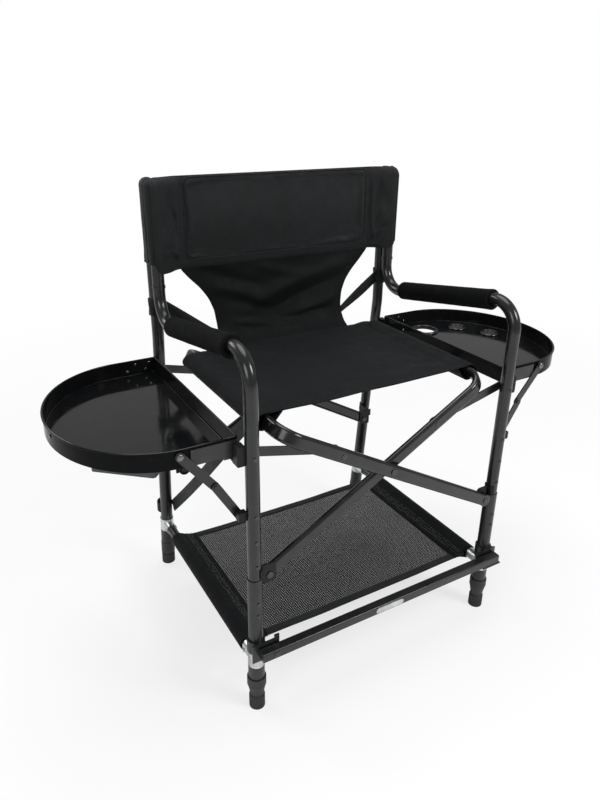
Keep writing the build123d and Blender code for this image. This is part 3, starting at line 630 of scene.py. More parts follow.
# Soft ridges, here and below: start a, start b, end a, end b, width and height, for folds().
SEAT_FOLDS = [
    (205, -186, 120, -120, 7, 1.4), (212, -150, 130, -105, 6, -1.0), (-205, -186, -130, -115, 7, 1.2),
    (-210, 140, -120, 90, 8, 1.2), (205, 145, 110, 80, 8, -1.2), (-60, 150, 60, 118, 9, 1.6),
    (-150, 148, -30, 128, 8, -1.5), (20, 150, 150, 122, 8, -1.4)]


def seat_profile(side):
    """Half of the seat's cross-section, from the sewn edge of its sleeve to the middle, as (x, z)."""
    radius = SLEEVE_R - SEAT_SHEET / 2
    seam = np.array([-SEAT_FLAP, radius - SEAT_SHEET - 0.1])
    start = math.atan2(seam[1], seam[0]) + math.acos(radius / np.linalg.norm(seam))
    points = [seam]
    points += [radius * np.array([math.cos(a), math.sin(a)])
               for a in np.linspace(start, 2.5 * math.pi, 34)]
    points = [(side * (RAIL_X + x * (SLEEVE_BULGE if x > 0 else 1)), RAIL_Z + z) for x, z in points]
    points += [(side * x, SEAT_TOP) for x in np.linspace(RAIL_X, 0, 50)[1:]]
    return np.array(points)


def seat_cloth():
    """Sling seat with a sleeve on each rail, sagging a little, with soft pulls at the rails."""
    profile = np.concatenate([seat_profile(1), seat_profile(-1)[::-1][1:]])
    lines = np.linspace(SEAT_LOW[1] + 0.6, SEAT_HIGH[1] - 0.6, 78)
    x, y = np.meshgrid(profile[:, 0], lines, indexing="ij")
    z = profile[:, 1:] + 0 * y
    flat = (np.abs(z - SEAT_TOP) < 0.05) & (np.abs(x) < RAIL_X)
    inner = np.clip(1 - (x / RAIL_X) ** 2, 0, 1)
    middle_y = (SEAT_LOW[1] + SEAT_HIGH[1]) / 2
    half_y = (SEAT_HIGH[1] - SEAT_LOW[1]) / 2
    hem = 1 - 0.35 * np.abs((y - middle_y) / half_y) ** 4 - 0.45 * ease(y, 90, SEAT_HIGH[1])
    sag = SEAT_SAG * inner ** 0.8 * hem
    pulls = np.exp((np.abs(x) - RAIL_X) / 30) * np.sin(y / 9.5 + 2.2 * ripple(x, y, 3, 140))
    pulls = 0.7 * pulls * np.clip(inner * 8, 0, 1)
    waves = 0.9 * ripple(x, y, 11, 190) * np.clip(inner * 3, 0, 1)
    z = z + np.where(flat, pulls + waves + folds(x, y, SEAT_FOLDS) - sag, 0)
    at_hem = flat & (np.abs(y - middle_y) > half_y - 3)
    grid = np.stack([x, y + 1.2 * ripple(x, x, 5, 160) * at_hem, z], axis=2)
    shape = Shape()
    shape.add(*thick_sheet(grid, SEAT_SHEET))
    piece = shape.build("seat_sling", SHADED_SEAT_CLOTH, "cloth_black")
    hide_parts("seat_left_half", "seat_right_half")
    across_seat(piece)
    seat_trim(grid, np.nonzero(flat[:, 0])[0])


def across_seat(piece):
    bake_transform(piece)


def seat_trim(grid, on_top):
    """Folded hems at the front and rear, and rows of stitches along the hems and sleeves."""
    above = np.array([0, 0, SEAT_SHEET / 2 + 0.15])
    hems, seams = Shape(), Shape()
    for column, inward in ((0, 0.8), (-1, -0.8)):
        edge = grid[on_top, column] + np.array([0, inward, -0.4])
        hems.add(*cord(edge, 1.9, sides=10, flatten=0.8))
    for column in (4, 6, -4, -6):
        seams.add(*stitches(grid[on_top, column] + above))
    for side in SIDES.values():
        for reach in (30, 36):
            nearest = np.argmin(np.abs(grid[on_top, 0, 0] - side * (RAIL_X - reach)))
            seams.add(*stitches(grid[on_top[nearest]] + above))
    across_seat(hems.build("seat_hems", SHADED_SEAT_CLOTH, "cloth_black"))
    across_seat(seams.build("seat_stitching", THREAD, "cloth_black"))


# ---------------------------------------------------------------- back
PAD_X = 226.0
PAD_TOP = BAND_TOP - 3
PAD_BOTTOM = BAND_BOTTOM + 18
PAD_CORNER = 16.0
CLOTH = 2.0                                 # thickness of the back's loose cloth and of its straps
BAND_FRONT_Y = BAND_SEAM_Y - 4
INNER_WALL_X = POST_X - POCKET_R - 0.5      # the band stays inside the pocket's inner wall
WRAP_R = POCKET_R + 2.6                     # the band's wrap lies on the pocket's front
TANGENT_X = POST_X - 6.0
WRAP_END_X = POST_X + 6.0
CORNER_R = 24.0
LOWER_CORNER = (17.0, 20.0)                 # width and height of the rounding of the lower corners
BAND_FOLDS = [
    (PAD_X + 14, 968, PAD_X + 24, 800, 4, -3.4), (PAD_X + 32, 962, PAD_X + 24, 850, 5, 2.6),
    (PAD_X + 44, 905, PAD_X + 20, 800, 5, -3.0), (PAD_X + 52, 850, PAD_X + 24, 795, 5, 2.6),
    (PAD_X + 10, 880, PAD_X + 50, 935, 5, 2.0), (PAD_X + 54, 830, PAD_X + 16, 822, 5, -2.4)]


def across_back(piece):
    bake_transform(piece)


def corner_drop(x):
    """How far the rounded corners of the band and its pockets fall short of their full height."""
    corner = np.clip(np.abs(x) - (POST_X + POCKET_R - CORNER_R), 0, CORNER_R)
    return CORNER_R - np.sqrt(CORNER_R ** 2 - corner ** 2)


def lifted(x, z):
    """Height z, raised where the lower corners of the band and its pockets are rounded."""
    outward = np.clip((np.abs(x) - WRAP_END_X) / LOWER_CORNER[0] + 0.97, 0, 1)
    share = np.clip((BAND_TOP - z) / BAND_HEIGHT, 0, 1)
    return z + LOWER_CORNER[1] * (1 - np.sqrt(1 - outward ** 2)) * share ** 4


def band_seam(x):
    """Where the two layers of the band meet along its top, in plan."""
    return BAND_SEAM_Y + (RISER_Y - BAND_SEAM_Y) * ease(np.abs(x), PAD_X + 14, POST_X - 9)


def pocket_front(x, radius):
    """Front of a circle of the given radius round the front post, in plan."""
    off = np.clip(np.abs(x) - POST_X, -radius, radius)
    return RISER_Y - np.sqrt(np.clip(radius ** 2 - off ** 2, 0, None))


def band_front(x):
    """Front face of the band in plan: flat behind the pad, then out over the front of the post pocket."""
    reach = ease(np.abs(x), PAD_X + 4, TANGENT_X) * 0.25
    reach = reach + 0.75 * np.clip((np.abs(x) - PAD_X - 8) / (TANGENT_X - PAD_X - 8), 0, 1)
    slope = BAND_FRONT_Y - (BAND_FRONT_Y - pocket_front(TANGENT_X, WRAP_R)) * reach
    return np.where(np.abs(x) > TANGENT_X, pocket_front(x, WRAP_R), slope)


def band_rear(x):
    """Rear face of the band in plan: flat, then forward beside the pocket and under the wrap."""
    flat = BAND_SEAM_Y + 4.5
    beside = ease(np.abs(x), INNER_WALL_X - 2.2, INNER_WALL_X)
    wrap = pocket_front(np.maximum(np.abs(x), INNER_WALL_X + 0.6), WRAP_R - 1.6)
    return flat * (1 - beside) + np.minimum(wrap, flat) * beside


def back_band():
    """The band between the posts: two layers sewn along the top, wrapped over the front of both pockets."""
    half = np.concatenate([np.linspace(0, PAD_X, 60), np.linspace(PAD_X, INNER_WALL_X - 3, 34)[1:],
                           np.linspace(INNER_WALL_X - 3, WRAP_END_X, 22)[1:]])
    rows = 0.5 - 0.5 * np.cos(np.linspace(0, math.pi, 72))
    x, share = np.meshgrid(np.concatenate([-half[:0:-1], half]), rows, indexing="ij")
    reach = np.abs(x)
    drop = corner_drop(x)
    z = lifted(x, BAND_BOTTOM + BAND_HEIGHT * share) - drop * share ** 4
    above = np.clip((BAND_TOP - drop - z) / POCKET_R, 0, 1)
    below = np.clip((z - BAND_BOTTOM) / 12, 0, 1)
    round_top = np.sqrt(np.clip(1 - (1 - above) ** 2, 0.015, 1))
    round_bottom = np.sqrt(np.clip(1 - (1 - below) ** 2, 0.03, 1))
    open_end = ease(reach, PAD_X + 14, INNER_WALL_X - 4)
    puff = np.minimum(round_top, round_bottom + (1 - round_bottom) * open_end)
    beside_pad = ease(reach, PAD_X + 3, PAD_X + 14) * (1 - ease(reach, TANGENT_X - 8, TANGENT_X + 4))
    crumple = folds(reach, z, BAND_FOLDS) + 1.1 * ripple(x, z * 0.6, 21, 46)
    seam = band_seam(x)
    front_y = seam - (seam - band_front(x)) * puff + crumple * beside_pad * puff
    rear_y = seam + (band_rear(x) - seam) * puff + 0.8 * ripple(x, z, 33, 120) * puff * (reach < PAD_X + 20)
    rear_y = np.maximum(rear_y, front_y + 1.2)
    shape = Shape()
    shape.add(*closed_pair(np.stack([x, rear_y, z], axis=2), np.stack([x, front_y, z], axis=2)))
    band = shape.build("back_band", BACK_CLOTH, "cloth_black")
    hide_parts("back_left_half", "back_right_half")
    across_back(band)
    edges = Shape()
    for column in (0, -1):
        edges.add(*cord(np.stack([x[column], front_y[column] + 0.3, z[column]], axis=1), 1.7, sides=10))
    across_back(edges.build("back_band_ends", BACK_CLOTH, "cloth_black"))


def rounded_outline(half_x, low, high, radius, steps):
    """Rounded rectangle in the XZ plane, evenly spaced, as (x, z)."""
    corners = [(half_x - radius, high - radius, 0), (-half_x + radius, high - radius, 90),
               (-half_x + radius, low + radius, 180), (half_x - radius, low + radius, 270)]
    points = []
    for x, z, start in corners:
        for angle in np.radians(np.linspace(start, start + 90, 9)):
            points.append((x + radius * math.cos(angle), z + radius * math.sin(angle)))
    points.append(points[0])
    return spaced(np.array(points), steps + 1)[:-1]


def back_pad():
    """Padded panel on the front of the band, swollen by a cloth simulation."""
    middle = (PAD_TOP + PAD_BOTTOM) / 2
    half = (PAD_TOP - PAD_BOTTOM) / 2
    x, z = np.meshgrid(np.linspace(-PAD_X, PAD_X, 100), np.linspace(-half, half, 40), indexing="ij")
    past_x = np.abs(x) - PAD_X + PAD_CORNER
    past_z = np.abs(z) - half + PAD_CORNER
    corner = np.hypot(np.clip(past_x, 0, None), np.clip(past_z, 0, None))
    inward = PAD_CORNER - np.maximum(corner, np.maximum(past_x, past_z))
    squeeze = np.maximum(corner / PAD_CORNER, 1)
    x = np.where(squeeze > 1, np.sign(x) * (PAD_X - PAD_CORNER + past_x / squeeze), x)
    z = np.where(squeeze > 1, np.sign(z) * (half - PAD_CORNER + past_z / squeeze), z)
    puff = np.sqrt(np.clip(1 - (1 - np.clip(inward / PAD_CORNER, 0, 1)) ** 2, 0.03, 1))
    soft = 2.2 * np.cos(z / half * math.pi)
    z = middle + z
    soft = soft + 0.9 * ripple(x, z * 1.8, 41, 210)
    front = np.stack([x, BAND_FRONT_Y + 1 - (9.5 + soft) * puff, z], axis=2)
    rear = np.stack([x, np.full(x.shape, BAND_FRONT_Y + 2.5), z], axis=2)
    shape = Shape()
    shape.add(*closed_pair(rear, front))
    pad = shape.build("back_pad", BACK_CLOTH, "cloth_black")
    swell(pad, lambda p: p[:, 1] > BAND_FRONT_Y - 0.5, pressure=3.0, cap=6.0, slack=0.012)
    across_back(subdivide(pad))
    outline = rounded_outline(PAD_X + 1, PAD_BOTTOM - 1, PAD_TOP + 1, PAD_CORNER, 420)
    loop = np.insert(outline, 1, BAND_FRONT_Y + 0.3, axis=1)
    welt = Shape()
    welt.add(*cord(loop, 1.8, sides=10, closed=True))
    across_back(welt.build("back_pad_welt", BACK_CLOTH, "cloth_black"))


# The lower panel: its run from the band to the seat as (y, z), and half its width at heights (z, x).
LOWER_PATH = [(BAND_SEAM_Y, BAND_BOTTOM + 12), (BAND_SEAM_Y, BAND_BOTTOM - 20), (BAND_SEAM_Y - 1, 700),
              (BAND_SEAM_Y - 6, 652), (BAND_SEAM_Y - 21, 623), (SEAT_HIGH[1] + 2, SEAT_HIGH[2] - 4)]
LOWER_EDGE = [(BAND_BOTTOM + 12, BAND_SHOULDER_X + 4), (BAND_BOTTOM, BAND_SHOULDER_X), (765, 220),
              (742, 197), (715, 178), (687, 167), (655, WAIST_X), (SEAT_HIGH[2], WAIST_X)]
WAIST_FOLDS = [
    (228, 782, -120, 668, 17, -10.0), (196, 748, -60, 640, 13, 8.0), (170, 700, 10, 630, 15, -9.0),
    (-225, 780, -20, 728, 15, 6.5), (-190, 752, -40, 690, 16, -7.0), (-150, 700, 20, 668, 12, 5.0),
    (-150, 650, 60, 634, 9, -5.0), (-40, 642, 150, 652, 8, 4.5), (-80, 775, 90, 745, 12, -4.0)]


def back_lower():
    """Narrow-waisted panel below the band, with diagonal drag folds, running down to the seat."""
    path = smooth_path(LOWER_PATH, 90)
    edge = np.array(LOWER_EDGE[::-1], float)
    half = np.interp(path[:, 1], edge[:, 0], edge[:, 1])
    kernel = np.hanning(13) / np.hanning(13).sum()
    half = np.convolve(np.pad(half, 6, mode="edge"), kernel, mode="valid")
    across = np.linspace(-1, 1, 110)[:, None]
    run = np.linspace(0, 1, len(path))[None, :]
    x = across * half
    y, z = [line + 0 * x for line in path.T]
    calm = ease(run, 0, 0.12) * (1 - ease(run, 0.93, 1.0)) * (1 - 0.4 * np.abs(across) ** 6)
    drape = folds(x, z, WAIST_FOLDS) + 1.2 * ripple(x, z, 53, 120)
    belly = 5.0 * (1 - across ** 2) * np.sin(run * math.pi)
    middle = np.stack([x, y + (drape + belly) * calm, z], axis=2)
    shape = Shape()
    shape.add(*thick_sheet(middle, CLOTH))
    across_back(shape.build("back_lower_panel", SHADED_WAIST_CLOTH, "cloth_black"))
    hems, seams = Shape(), Shape()
    for outer, inner in ((0, 4), (-1, -5)):
        hems.add(*cord(middle[outer, 4:], 2.0, sides=10))
        seams.add(*stitches(middle[inner, 8:] + np.array([0, -1.3, 0])))
    across_back(hems.build("back_lower_hems", SHADED_WAIST_CLOTH, "cloth_black"))
    across_back(seams.build("back_stitching", THREAD, "cloth_black"))


def band_piping():
    """Piping along the top and bottom edges of the band and round the ends of the pockets."""
    x = np.linspace(-WRAP_END_X, WRAP_END_X, 150)
    pipe = Shape()
    top = np.stack([x, band_seam(x), BAND_TOP - 0.4 - corner_drop(x)], axis=1)
    pipe.add(*cord(top, 1.9, sides=10))
    inner = x[np.abs(x) < PAD_X + 12]
    low = np.stack([inner, band_seam(inner), np.full(len(inner), BAND_BOTTOM + 0.6)], axis=1)
    pipe.add(*cord(low, 1.2, sides=10))
    across_back(pipe.build("back_piping", BACK_CLOTH, "cloth_black"))
    seams = Shape()
    for z, above in ((BAND_TOP - 13, 13 / POCKET_R), (BAND_BOTTOM + 12, 1)):
        puff = math.sqrt(1 - (1 - above) ** 2)
        seam = band_seam(inner)
        y = seam - (seam - band_front(inner)) * puff - 0.5
        seams.add(*stitches(np.stack([inner, y, np.full(len(inner), z)], axis=1)))
    across_back(seams.build("band_stitching", THREAD, "cloth_black"))


def pocket_section(side, radius, steps=72):
    """Plan outline of the post pocket at a given radius, both posts inside it."""
    half = (POST_Y - RISER_Y) / 2
    middle = (POST_Y + RISER_Y) / 2
    angles = np.linspace(0, 2 * math.pi, 400, endpoint=False)
    x = radius * np.cos(angles)
    y = radius * np.sin(angles) + np.where(np.sin(angles) > 0, half, -half)
    curve = np.stack([POST_X * side + side * x, middle + y], axis=1)
    return spaced(np.concatenate([curve, curve[:1]]), steps + 1)[:-1]


def pocket_skin(side):
    """Outer skin of a pocket: rings of points from its hem to its domed top, slack in places."""
    dome = BAND_TOP - POCKET_R
    heights = list(np.linspace(BAND_BOTTOM, dome, 46))
    heights += list(dome + POCKET_R * np.sin(np.radians(np.linspace(8, 88, 14))))
    middle = np.array([POST_X * side, (POST_Y + RISER_Y) / 2])
    rings = []
    for z in heights:
        radius = math.sqrt(max(POCKET_R ** 2 - max(0.0, z - dome) ** 2, 0.4))
        ring = pocket_section(side, radius)
        slack = np.clip(1.1 * ripple(ring[:, 1] * 1.4, z * 0.5 + side * 40, 61, 42), -0.5, 1.6)
        slack = slack * ease(z, BAND_BOTTOM, BAND_BOTTOM + 12) * (radius / POCKET_R)
        direction = ring - middle
        direction /= np.linalg.norm(direction, axis=1, keepdims=True)
        ring = ring + direction * slack[:, None]
        rings.append(np.column_stack([ring, lifted(ring[:, 0], z)]))
    return np.array(rings).transpose(1, 0, 2)


def pocket_piping(side):
    """Hem round the mouth of a pocket and piping up its outer side to the top."""
    piping = Shape()
    ring = pocket_section(side, POCKET_R - 0.3, 120)
    hem = np.column_stack([ring, lifted(ring[:, 0], BAND_BOTTOM + 1.2)])
    piping.add(*cord(hem, 1.8, closed=True))
    dome = BAND_TOP - POCKET_R
    points = [(POCKET_R, z) for z in np.linspace(BAND_BOTTOM + LOWER_CORNER[1] + 2, BAND_TOP - 18, 30)]
    points += [(POCKET_R * math.cos(a), dome + POCKET_R * math.sin(a))
               for a in np.radians(np.linspace(-20, 88, 40)) if a > 0]
    piping.add(*cord([(side * (POST_X + x), RISER_Y + 6, z) for x, z in points], 1.7))
    return piping


def back_pockets():
    """Cloth pocket over the two posts of each side, domed at the top and hemmed at the bottom."""
    for name, side in SIDES.items():
        outer = pocket_skin(side)
        bore = pocket_section(side, POST_R + 0.4)
        inner = np.array([np.column_stack([bore, lifted(bore[:, 0], BAND_BOTTOM + rise)])
                          for rise in (0, 30, 60)]).transpose(1, 0, 2)
        steps, levels = outer.shape[:2]
        depths = inner.shape[1]
        start = steps * levels
        faces = grid_faces(steps, levels, wrap=True, flip=side < 0)
        faces += grid_faces(steps, depths, start=start, wrap=True, flip=side > 0)
        faces.append(tuple(i * levels + levels - 1 for i in range(steps)))
        faces.append(tuple(start + i * depths + depths - 1 for i in range(steps)))
        faces += [(i * levels, j * levels, start + j * depths, start + i * depths)
                  for i, j in neighbours(steps)]
        shape = Shape()
        shape.add(np.concatenate([outer.reshape(-1, 3), inner.reshape(-1, 3)]), faces)
        pocket = shape.build(name + "_post_pocket", SIDE_CLOTH, "cloth_black")
        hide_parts(name + "_back_sleeve")
        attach(pocket, name + "_frame")
        piping = pocket_piping(side).build(name + "_pocket_piping", SIDE_CLOTH, "cloth_black")
        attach(piping, name + "_frame")


STRAP_TOP = BAND_BOTTOM - 60.0
STRAP_BOTTOM = BAND_BOTTOM - 96.0
STRAP_END_TOP = 634.0       # edges of the strap where it meets the back of the waist
STRAP_END_BOTTOM = 620.0


def strap_collar(side):
    """Loop of the waist strap round the rear post."""
    angles = np.linspace(0, 2 * math.pi, 48, endpoint=False)[:, None]
    heights = np.linspace(STRAP_BOTTOM, STRAP_TOP, 14)[None, :]
    wave = 0.5 * np.sin(angles * 5 + heights / 5)
    inner, outer = [np.stack([side * POST_X + size * np.cos(angles), POST_Y + size * np.sin(angles),
                              heights + 0 * size], axis=2)
                    for size in (POST_R + 0.4 + 0 * wave, POCKET_R - 0.2 + wave)]
    section = np.concatenate([inner, outer[:, ::-1]], axis=1)
    collar = Shape()
    collar.add(section, ring_faces(*section.shape[:2], closed=True))
    return collar


def waist_strap(side):
    """Cloth strap from the rear post down to the back of the waist, narrowing on the way."""
    t = np.linspace(0, 1, 36)[:, None]
    v = np.linspace(0, 1, 9)[None, :]
    top = STRAP_TOP - 2 + t * (STRAP_END_TOP - STRAP_TOP + 2)
    low = STRAP_BOTTOM + 2 + t * (STRAP_END_BOTTOM - STRAP_BOTTOM - 2)
    low = low - 10 * np.sin(t * math.pi) * (1 - t)
    z = low + (top - low) * v
    x = side * (POST_X - POCKET_R + 1.5 - t * (POST_X - POCKET_R - WAIST_X + 5)) + 0 * z
    y = POST_Y - 5 + 2.5 * np.sin(t * 3) + 2.2 * np.sin(v * 5 + t * 4) * (1 - t) - 6.0 * t
    strap = Shape()
    strap.add(*thick_sheet(np.stack([x, y, z], axis=2), CLOTH))
    return strap


def waist_straps():
    """The two waist straps: the loop rides on the frame and the strap on the back."""
    for name, side in SIDES.items():
        collar = strap_collar(side).build(name + "_strap_loop", SIDE_CLOTH, "cloth_black")
        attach(collar, name + "_frame")
        strap = waist_strap(side).build(name + "_waist_strap", BACK_CLOTH, "cloth_black")
        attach(strap, "back_" + name)


# ---------------------------------------------------------------- shelf
NET_PITCH = 4.4
NET_STRAND = 3.35       # width of a strand
NET_RISE = 0.3          # half its thickness
NET_WEAVE = 0.34        # how far it rises and dips at the crossings
SHELF_TAPE = 17.0       # width of the tape on the front and rear edges
FLAP = 46.0             # from a side tube's middle to the sewn edge of its sleeve


def across_shelf(piece):
    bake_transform(piece)


def shelf_sag(x, y):
    """Height of the shelf's cloth: a shallow sag between the side sleeves."""
    half = SHELF_X - 20
    depth = (SHELF_HIGH[1] - SHELF_LOW[1]) / 2
    middle = (SHELF_HIGH[1] + SHELF_LOW[1]) / 2
    droop = 4.0 * np.clip(1 - (x / half) ** 2, 0, 1) * (1 - 0.4 * np.abs((y - middle) / depth) ** 3)
    return SHELF_Z - droop + 0.8 * ripple(x, y, 71, 170)


def net_strands(lines, along, swap, shape):
    """One direction of the net: thin strands that pass over and under the other direction's."""
    side = np.array([0, NET_STRAND / 2, 0]) if swap else np.array([NET_STRAND / 2, 0, 0])
    up = np.array([0, 0, NET_RISE])
    for number, place in enumerate(lines):
        weave = NET_WEAVE * np.where((np.arange(len(along)) + number) % 2 == 0, 1, -1)
        fixed = np.full(len(along), place)
        first, second = (along, fixed) if swap else (fixed, along)
        height = shelf_sag(first, second) + (weave if swap else -weave)
        middle = np.stack([first, second, height], axis=1)
        rings = np.stack([middle - side, middle + up, middle + side, middle - up], axis=1)
        shape.add(rings, ring_faces(len(along), 4))


def shelf():
    """Open mesh shelf with taped front and rear edges and wide sleeves on the side tubes."""
    x = np.arange(30 - SHELF_X, SHELF_X - 30, NET_PITCH)
    y = np.arange(SHELF_LOW[1] + 10, SHELF_HIGH[1] - 10, NET_PITCH)
    net = Shape()
    net_strands(x, y, False, net)
    net_strands(y, x, True, net)
    piece = net.build("shelf_net", NET, "shelf_mesh", flat=True)
    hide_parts("shelf_left_half", "shelf_right_half")
    across_shelf(piece)
    tape, seams = Shape(), Shape()
    wide = np.linspace(16 - SHELF_X, SHELF_X - 16, 90)
    for start in (SHELF_LOW[1], SHELF_HIGH[1] - SHELF_TAPE):
        across = np.linspace(start, start + SHELF_TAPE, 7)
        x, y = np.meshgrid(wide, across, indexing="ij")
        middle = np.stack([x, y, shelf_sag(x, y)], axis=2)
        tape.add(*thick_sheet(middle, 2.6))
        for column in (1, 5):
            seams.add(*stitches(middle[:, column] + np.array([0, 0, 1.45])))
    across_shelf(tape.build("shelf_tape", TAPE, "cloth_black"))
    across_shelf(seams.build("shelf_tape_stitching", THREAD, "cloth_black"))
    for name, side in SIDES.items():
        shelf_sleeve(name, side)


SCRIBBLE_ROWS = (2, 3, 4)
SCRIBBLE_STEPS = 150


def sleeve_outline():
    """Cross-section of a shelf sleeve from its tube's centre, as (x, z): flap, tube, and flap again."""
    angles = np.radians(np.linspace(118, -118, 40))
    arc = (SHELF_SLEEVE_R - 1.2) * np.stack([np.cos(angles), np.sin(angles)], axis=1)
    over = smooth_path([(-FLAP, 1.5), (-FLAP * 0.7, 1.9), arc[0]], 8)
    under = smooth_path([arc[-1], (-FLAP * 0.7, -1.9), (-FLAP, -1.5)], 8)
    return np.concatenate([over[:-1], arc, under[1:]])


def shelf_sleeve(name, side):
    """Wide cloth flap sewn into a sleeve round one side tube, with a wandering row of stitches."""
    profile = sleeve_outline()
    off, y = np.meshgrid(profile[:, 0], np.linspace(SHELF_LOW[1], SHELF_HIGH[1], 90), indexing="ij")
    share = np.clip(-off / FLAP, 0, 1)
    drop = shelf_sag(side * (SHELF_X - FLAP), y[0]) - SHELF_Z
    crumple = 0.9 * ripple(y, off * 2, 81 + side, 34) * np.clip(share * 2.2, 0, 1)
    crumple = crumple * (1 - ease(share, 0.85, 1.0) * 0.6)
    grid = np.stack([side * (SHELF_X + off), y, SHELF_Z + profile[:, 1:] + share * drop + crumple], axis=2)
    sleeve, seams, loose = Shape(), Shape(), Shape()
    sleeve.add(*thick_sheet(grid if side > 0 else grid[:, ::-1], CLOTH))
    for row in (1, 5):
        seams.add(*stitches(grid[row] + np.array([0, 0, 1.25])))
    draw = np.random.default_rng(17 + side)
    for row in SCRIBBLE_ROWS:
        wander = spaced(grid[row], SCRIBBLE_STEPS) + np.array([0, 0, 1.5])
        wander[:, 0] += draw.uniform(-2.6, 2.6, SCRIBBLE_STEPS)
        wander[:, 1] += draw.uniform(-2.5, 2.5, SCRIBBLE_STEPS)
        loose.add(*cord(smooth_path(wander, 3 * SCRIBBLE_STEPS), STITCH_R, sides=5))
    for shape, ending, material in ((sleeve, "_shelf_sleeve", SHADED_SEAT_CLOTH),
                                    (seams, "_shelf_stitching", THREAD),
                                    (loose, "_shelf_fuzz", PALE_THREAD)):
        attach(shape.build(name + ending, material, "cloth_black"), "shelf_" + name)


# ---------------------------------------------------------------- arm pads
def arm_pads():
    """Foam tube on each arm: crisp ends, a slight flare at the front and faint dents."""
    angles = np.linspace(0, 2 * math.pi, 64, endpoint=False)
    ends = [0, 0.6, 2, 4.5, 8, 13]
    for name, side in SIDES.items():
        low, high = box_mm(name + "_arm_pad")
        radius = (high[0] - low[0]) / 2
        centre_x = (high[0] + low[0]) / 2
        front = np.array([centre_x, low[1] + 2.5, high[2] - radius - 0.8])
        rear = np.array([centre_x, high[1] - 2.5, low[2] + radius + 0.8])
        length = np.linalg.norm(rear - front)
        along = (rear - front) / length
        up = np.cross(along, [1, 0, 0])
        up *= np.sign(up[2])
        spokes = np.cos(angles)[:, None] * np.array([1, 0, 0]) + np.sin(angles)[:, None] * up
        rings = []
        for s in ends + list(np.linspace(22, length - 22, 46)) + [length - s for s in ends[::-1]]:
            end = min(s, length - s)
            rounding = math.sqrt(max(0.0, 1 - (1 - min(end / 3, 1)) ** 2))
            dent = 0.12 * ripple(np.cos(angles) * 30 + s, np.sin(angles) * 30 + s * 0.4, 91 + side, 55)
            size = radius - 4.0 + 3 * rounding + max(0.0, 1 - s / 16) + dent * min(end / 10, 1)
            rings.append(front + along * s + size[:, None] * spokes)
        for s in (length, length - 12, 12, 0):
            rings.append(front + along * s + (POST_R + 0.3) * spokes)
        shape = Shape()
        shape.add(rings, ring_faces(len(rings), len(angles), closed=True))
        pad = shape.build(name + "_arm_foam", FOAM, "arm_foam")
        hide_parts(name + "_arm_pad")
        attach(pad, name + "_frame")


# ---------------------------------------------------------------- carry strap
STRAP_HALF = 14.0       # half its width
STRAP_LOOP_Z = 173.0    # middle of the loop on the rear leg


def strap_run(start, stop):
    """Strip of webbing between two points, slack and twisted a little."""
    t = np.linspace(0, 1, 120)[:, None]
    v = np.linspace(-1, 1, 11)[None, :, None]
    centre = start + (stop - start) * t
    centre[:, 2:] -= 7.0 * np.sin(t * math.pi)
    centre[:, 0:1] += 1.4 * np.sin(t * math.pi * 2)
    direction = (stop - start) / np.linalg.norm(stop - start)
    lean = 0.105 * np.sin(t * math.pi)[:, :, None] * np.array([1, 0, 0])
    middle = centre[:, None] + STRAP_HALF * v * (np.cross(direction, [1, 0, 0]) + lean)
    middle[..., 0] += 0.35 * np.cos(v[..., 0] * math.pi * 2)
    return thick_sheet(middle, 1.6)


def strap_loop(centre_y):
    """Band of webbing round the left rear leg, with eased edges."""
    angles = np.linspace(0, 2 * math.pi, 48, endpoint=False)
    rings = []
    for size, outward, rows in ((18.2, 1, (-14, -13, 13, 14)), (16.6, -1, (14, 13, -13, -14))):
        for height in rows:
            reach = size - outward * (0.5 if abs(height) == STRAP_HALF else 0)
            rings.append(np.stack([reach * np.cos(angles) - POST_X,
                                   centre_y - 0.094 * height + reach * np.sin(angles),
                                   STRAP_LOOP_Z + height + 0 * angles], axis=1))
    grid = np.array(rings[::-1]).transpose(1, 0, 2)
    return grid, ring_faces(*grid.shape[:2], closed=True)


def carry_strap():
    """Webbing from a loop on the left rear leg up to a sewn tab behind the left front leg."""
    leg_back = box_mm("left_arm_tube")[0][1] + 2 * POST_R
    start = np.array([17.5 - POST_X, box_mm("carry_strap")[1][1] - 20.0, STRAP_LOOP_Z - 1])
    stop = np.array([17.5 - POST_X, leg_back + 5, 640.0])
    tab_x, tab_z = np.meshgrid(np.linspace(-6, 18, 8) - POST_X, stop[2] + np.linspace(-12, 12, 8),
                               indexing="ij")
    shape = Shape()
    shape.add(*strap_run(start, stop))
    shape.add(*thick_sheet(np.stack([tab_x, 0 * tab_x + leg_back + 2, tab_z], axis=2), 2.4))
    shape.add(*strap_loop(start[1] + 14))
    piece = shape.build("carry_webbing", STRAP, "cloth_black")
    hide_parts("carry_strap")
    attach(piece, "left_frame")


# ---------------------------------------------------------------- trays
TRAY_STRAIGHT = 89.0    # from a tray's inner wall to the start of its curve


def tray_edges(name):
    """Distances of a tray's inner and outer edge from the chair's middle plane."""
    low, high = box_mm(name + "_tray")
    return sorted((abs(low[0]), abs(high[0])))


def tray_rim(name, inset, height, steps=260):
    """Outline of a tray at a given inset and height."""
    low, high = box_mm(name + "_tray")
    inner, outer = tray_edges(name)
    middle_y = (low[1] + high[1]) / 2
    half_y = (high[1] - low[1]) / 2 - inset
    turn_x = inner + TRAY_STRAIGHT
    reach = outer - turn_x - inset
    points = [(inner + inset, middle_y - half_y), (turn_x, middle_y - half_y)]
    points += [(turn_x + reach * math.cos(a), middle_y + half_y * math.sin(a))
               for a in np.radians(np.linspace(-90, 90, 120))[1:]]
    points += [(inner + inset, middle_y + half_y), (inner + inset, middle_y - half_y)]
    curve = spaced(np.array(points), steps + 1)[:-1]
    return np.column_stack([SIDES[name] * curve[:, 0], curve[:, 1], np.full(steps, height)])


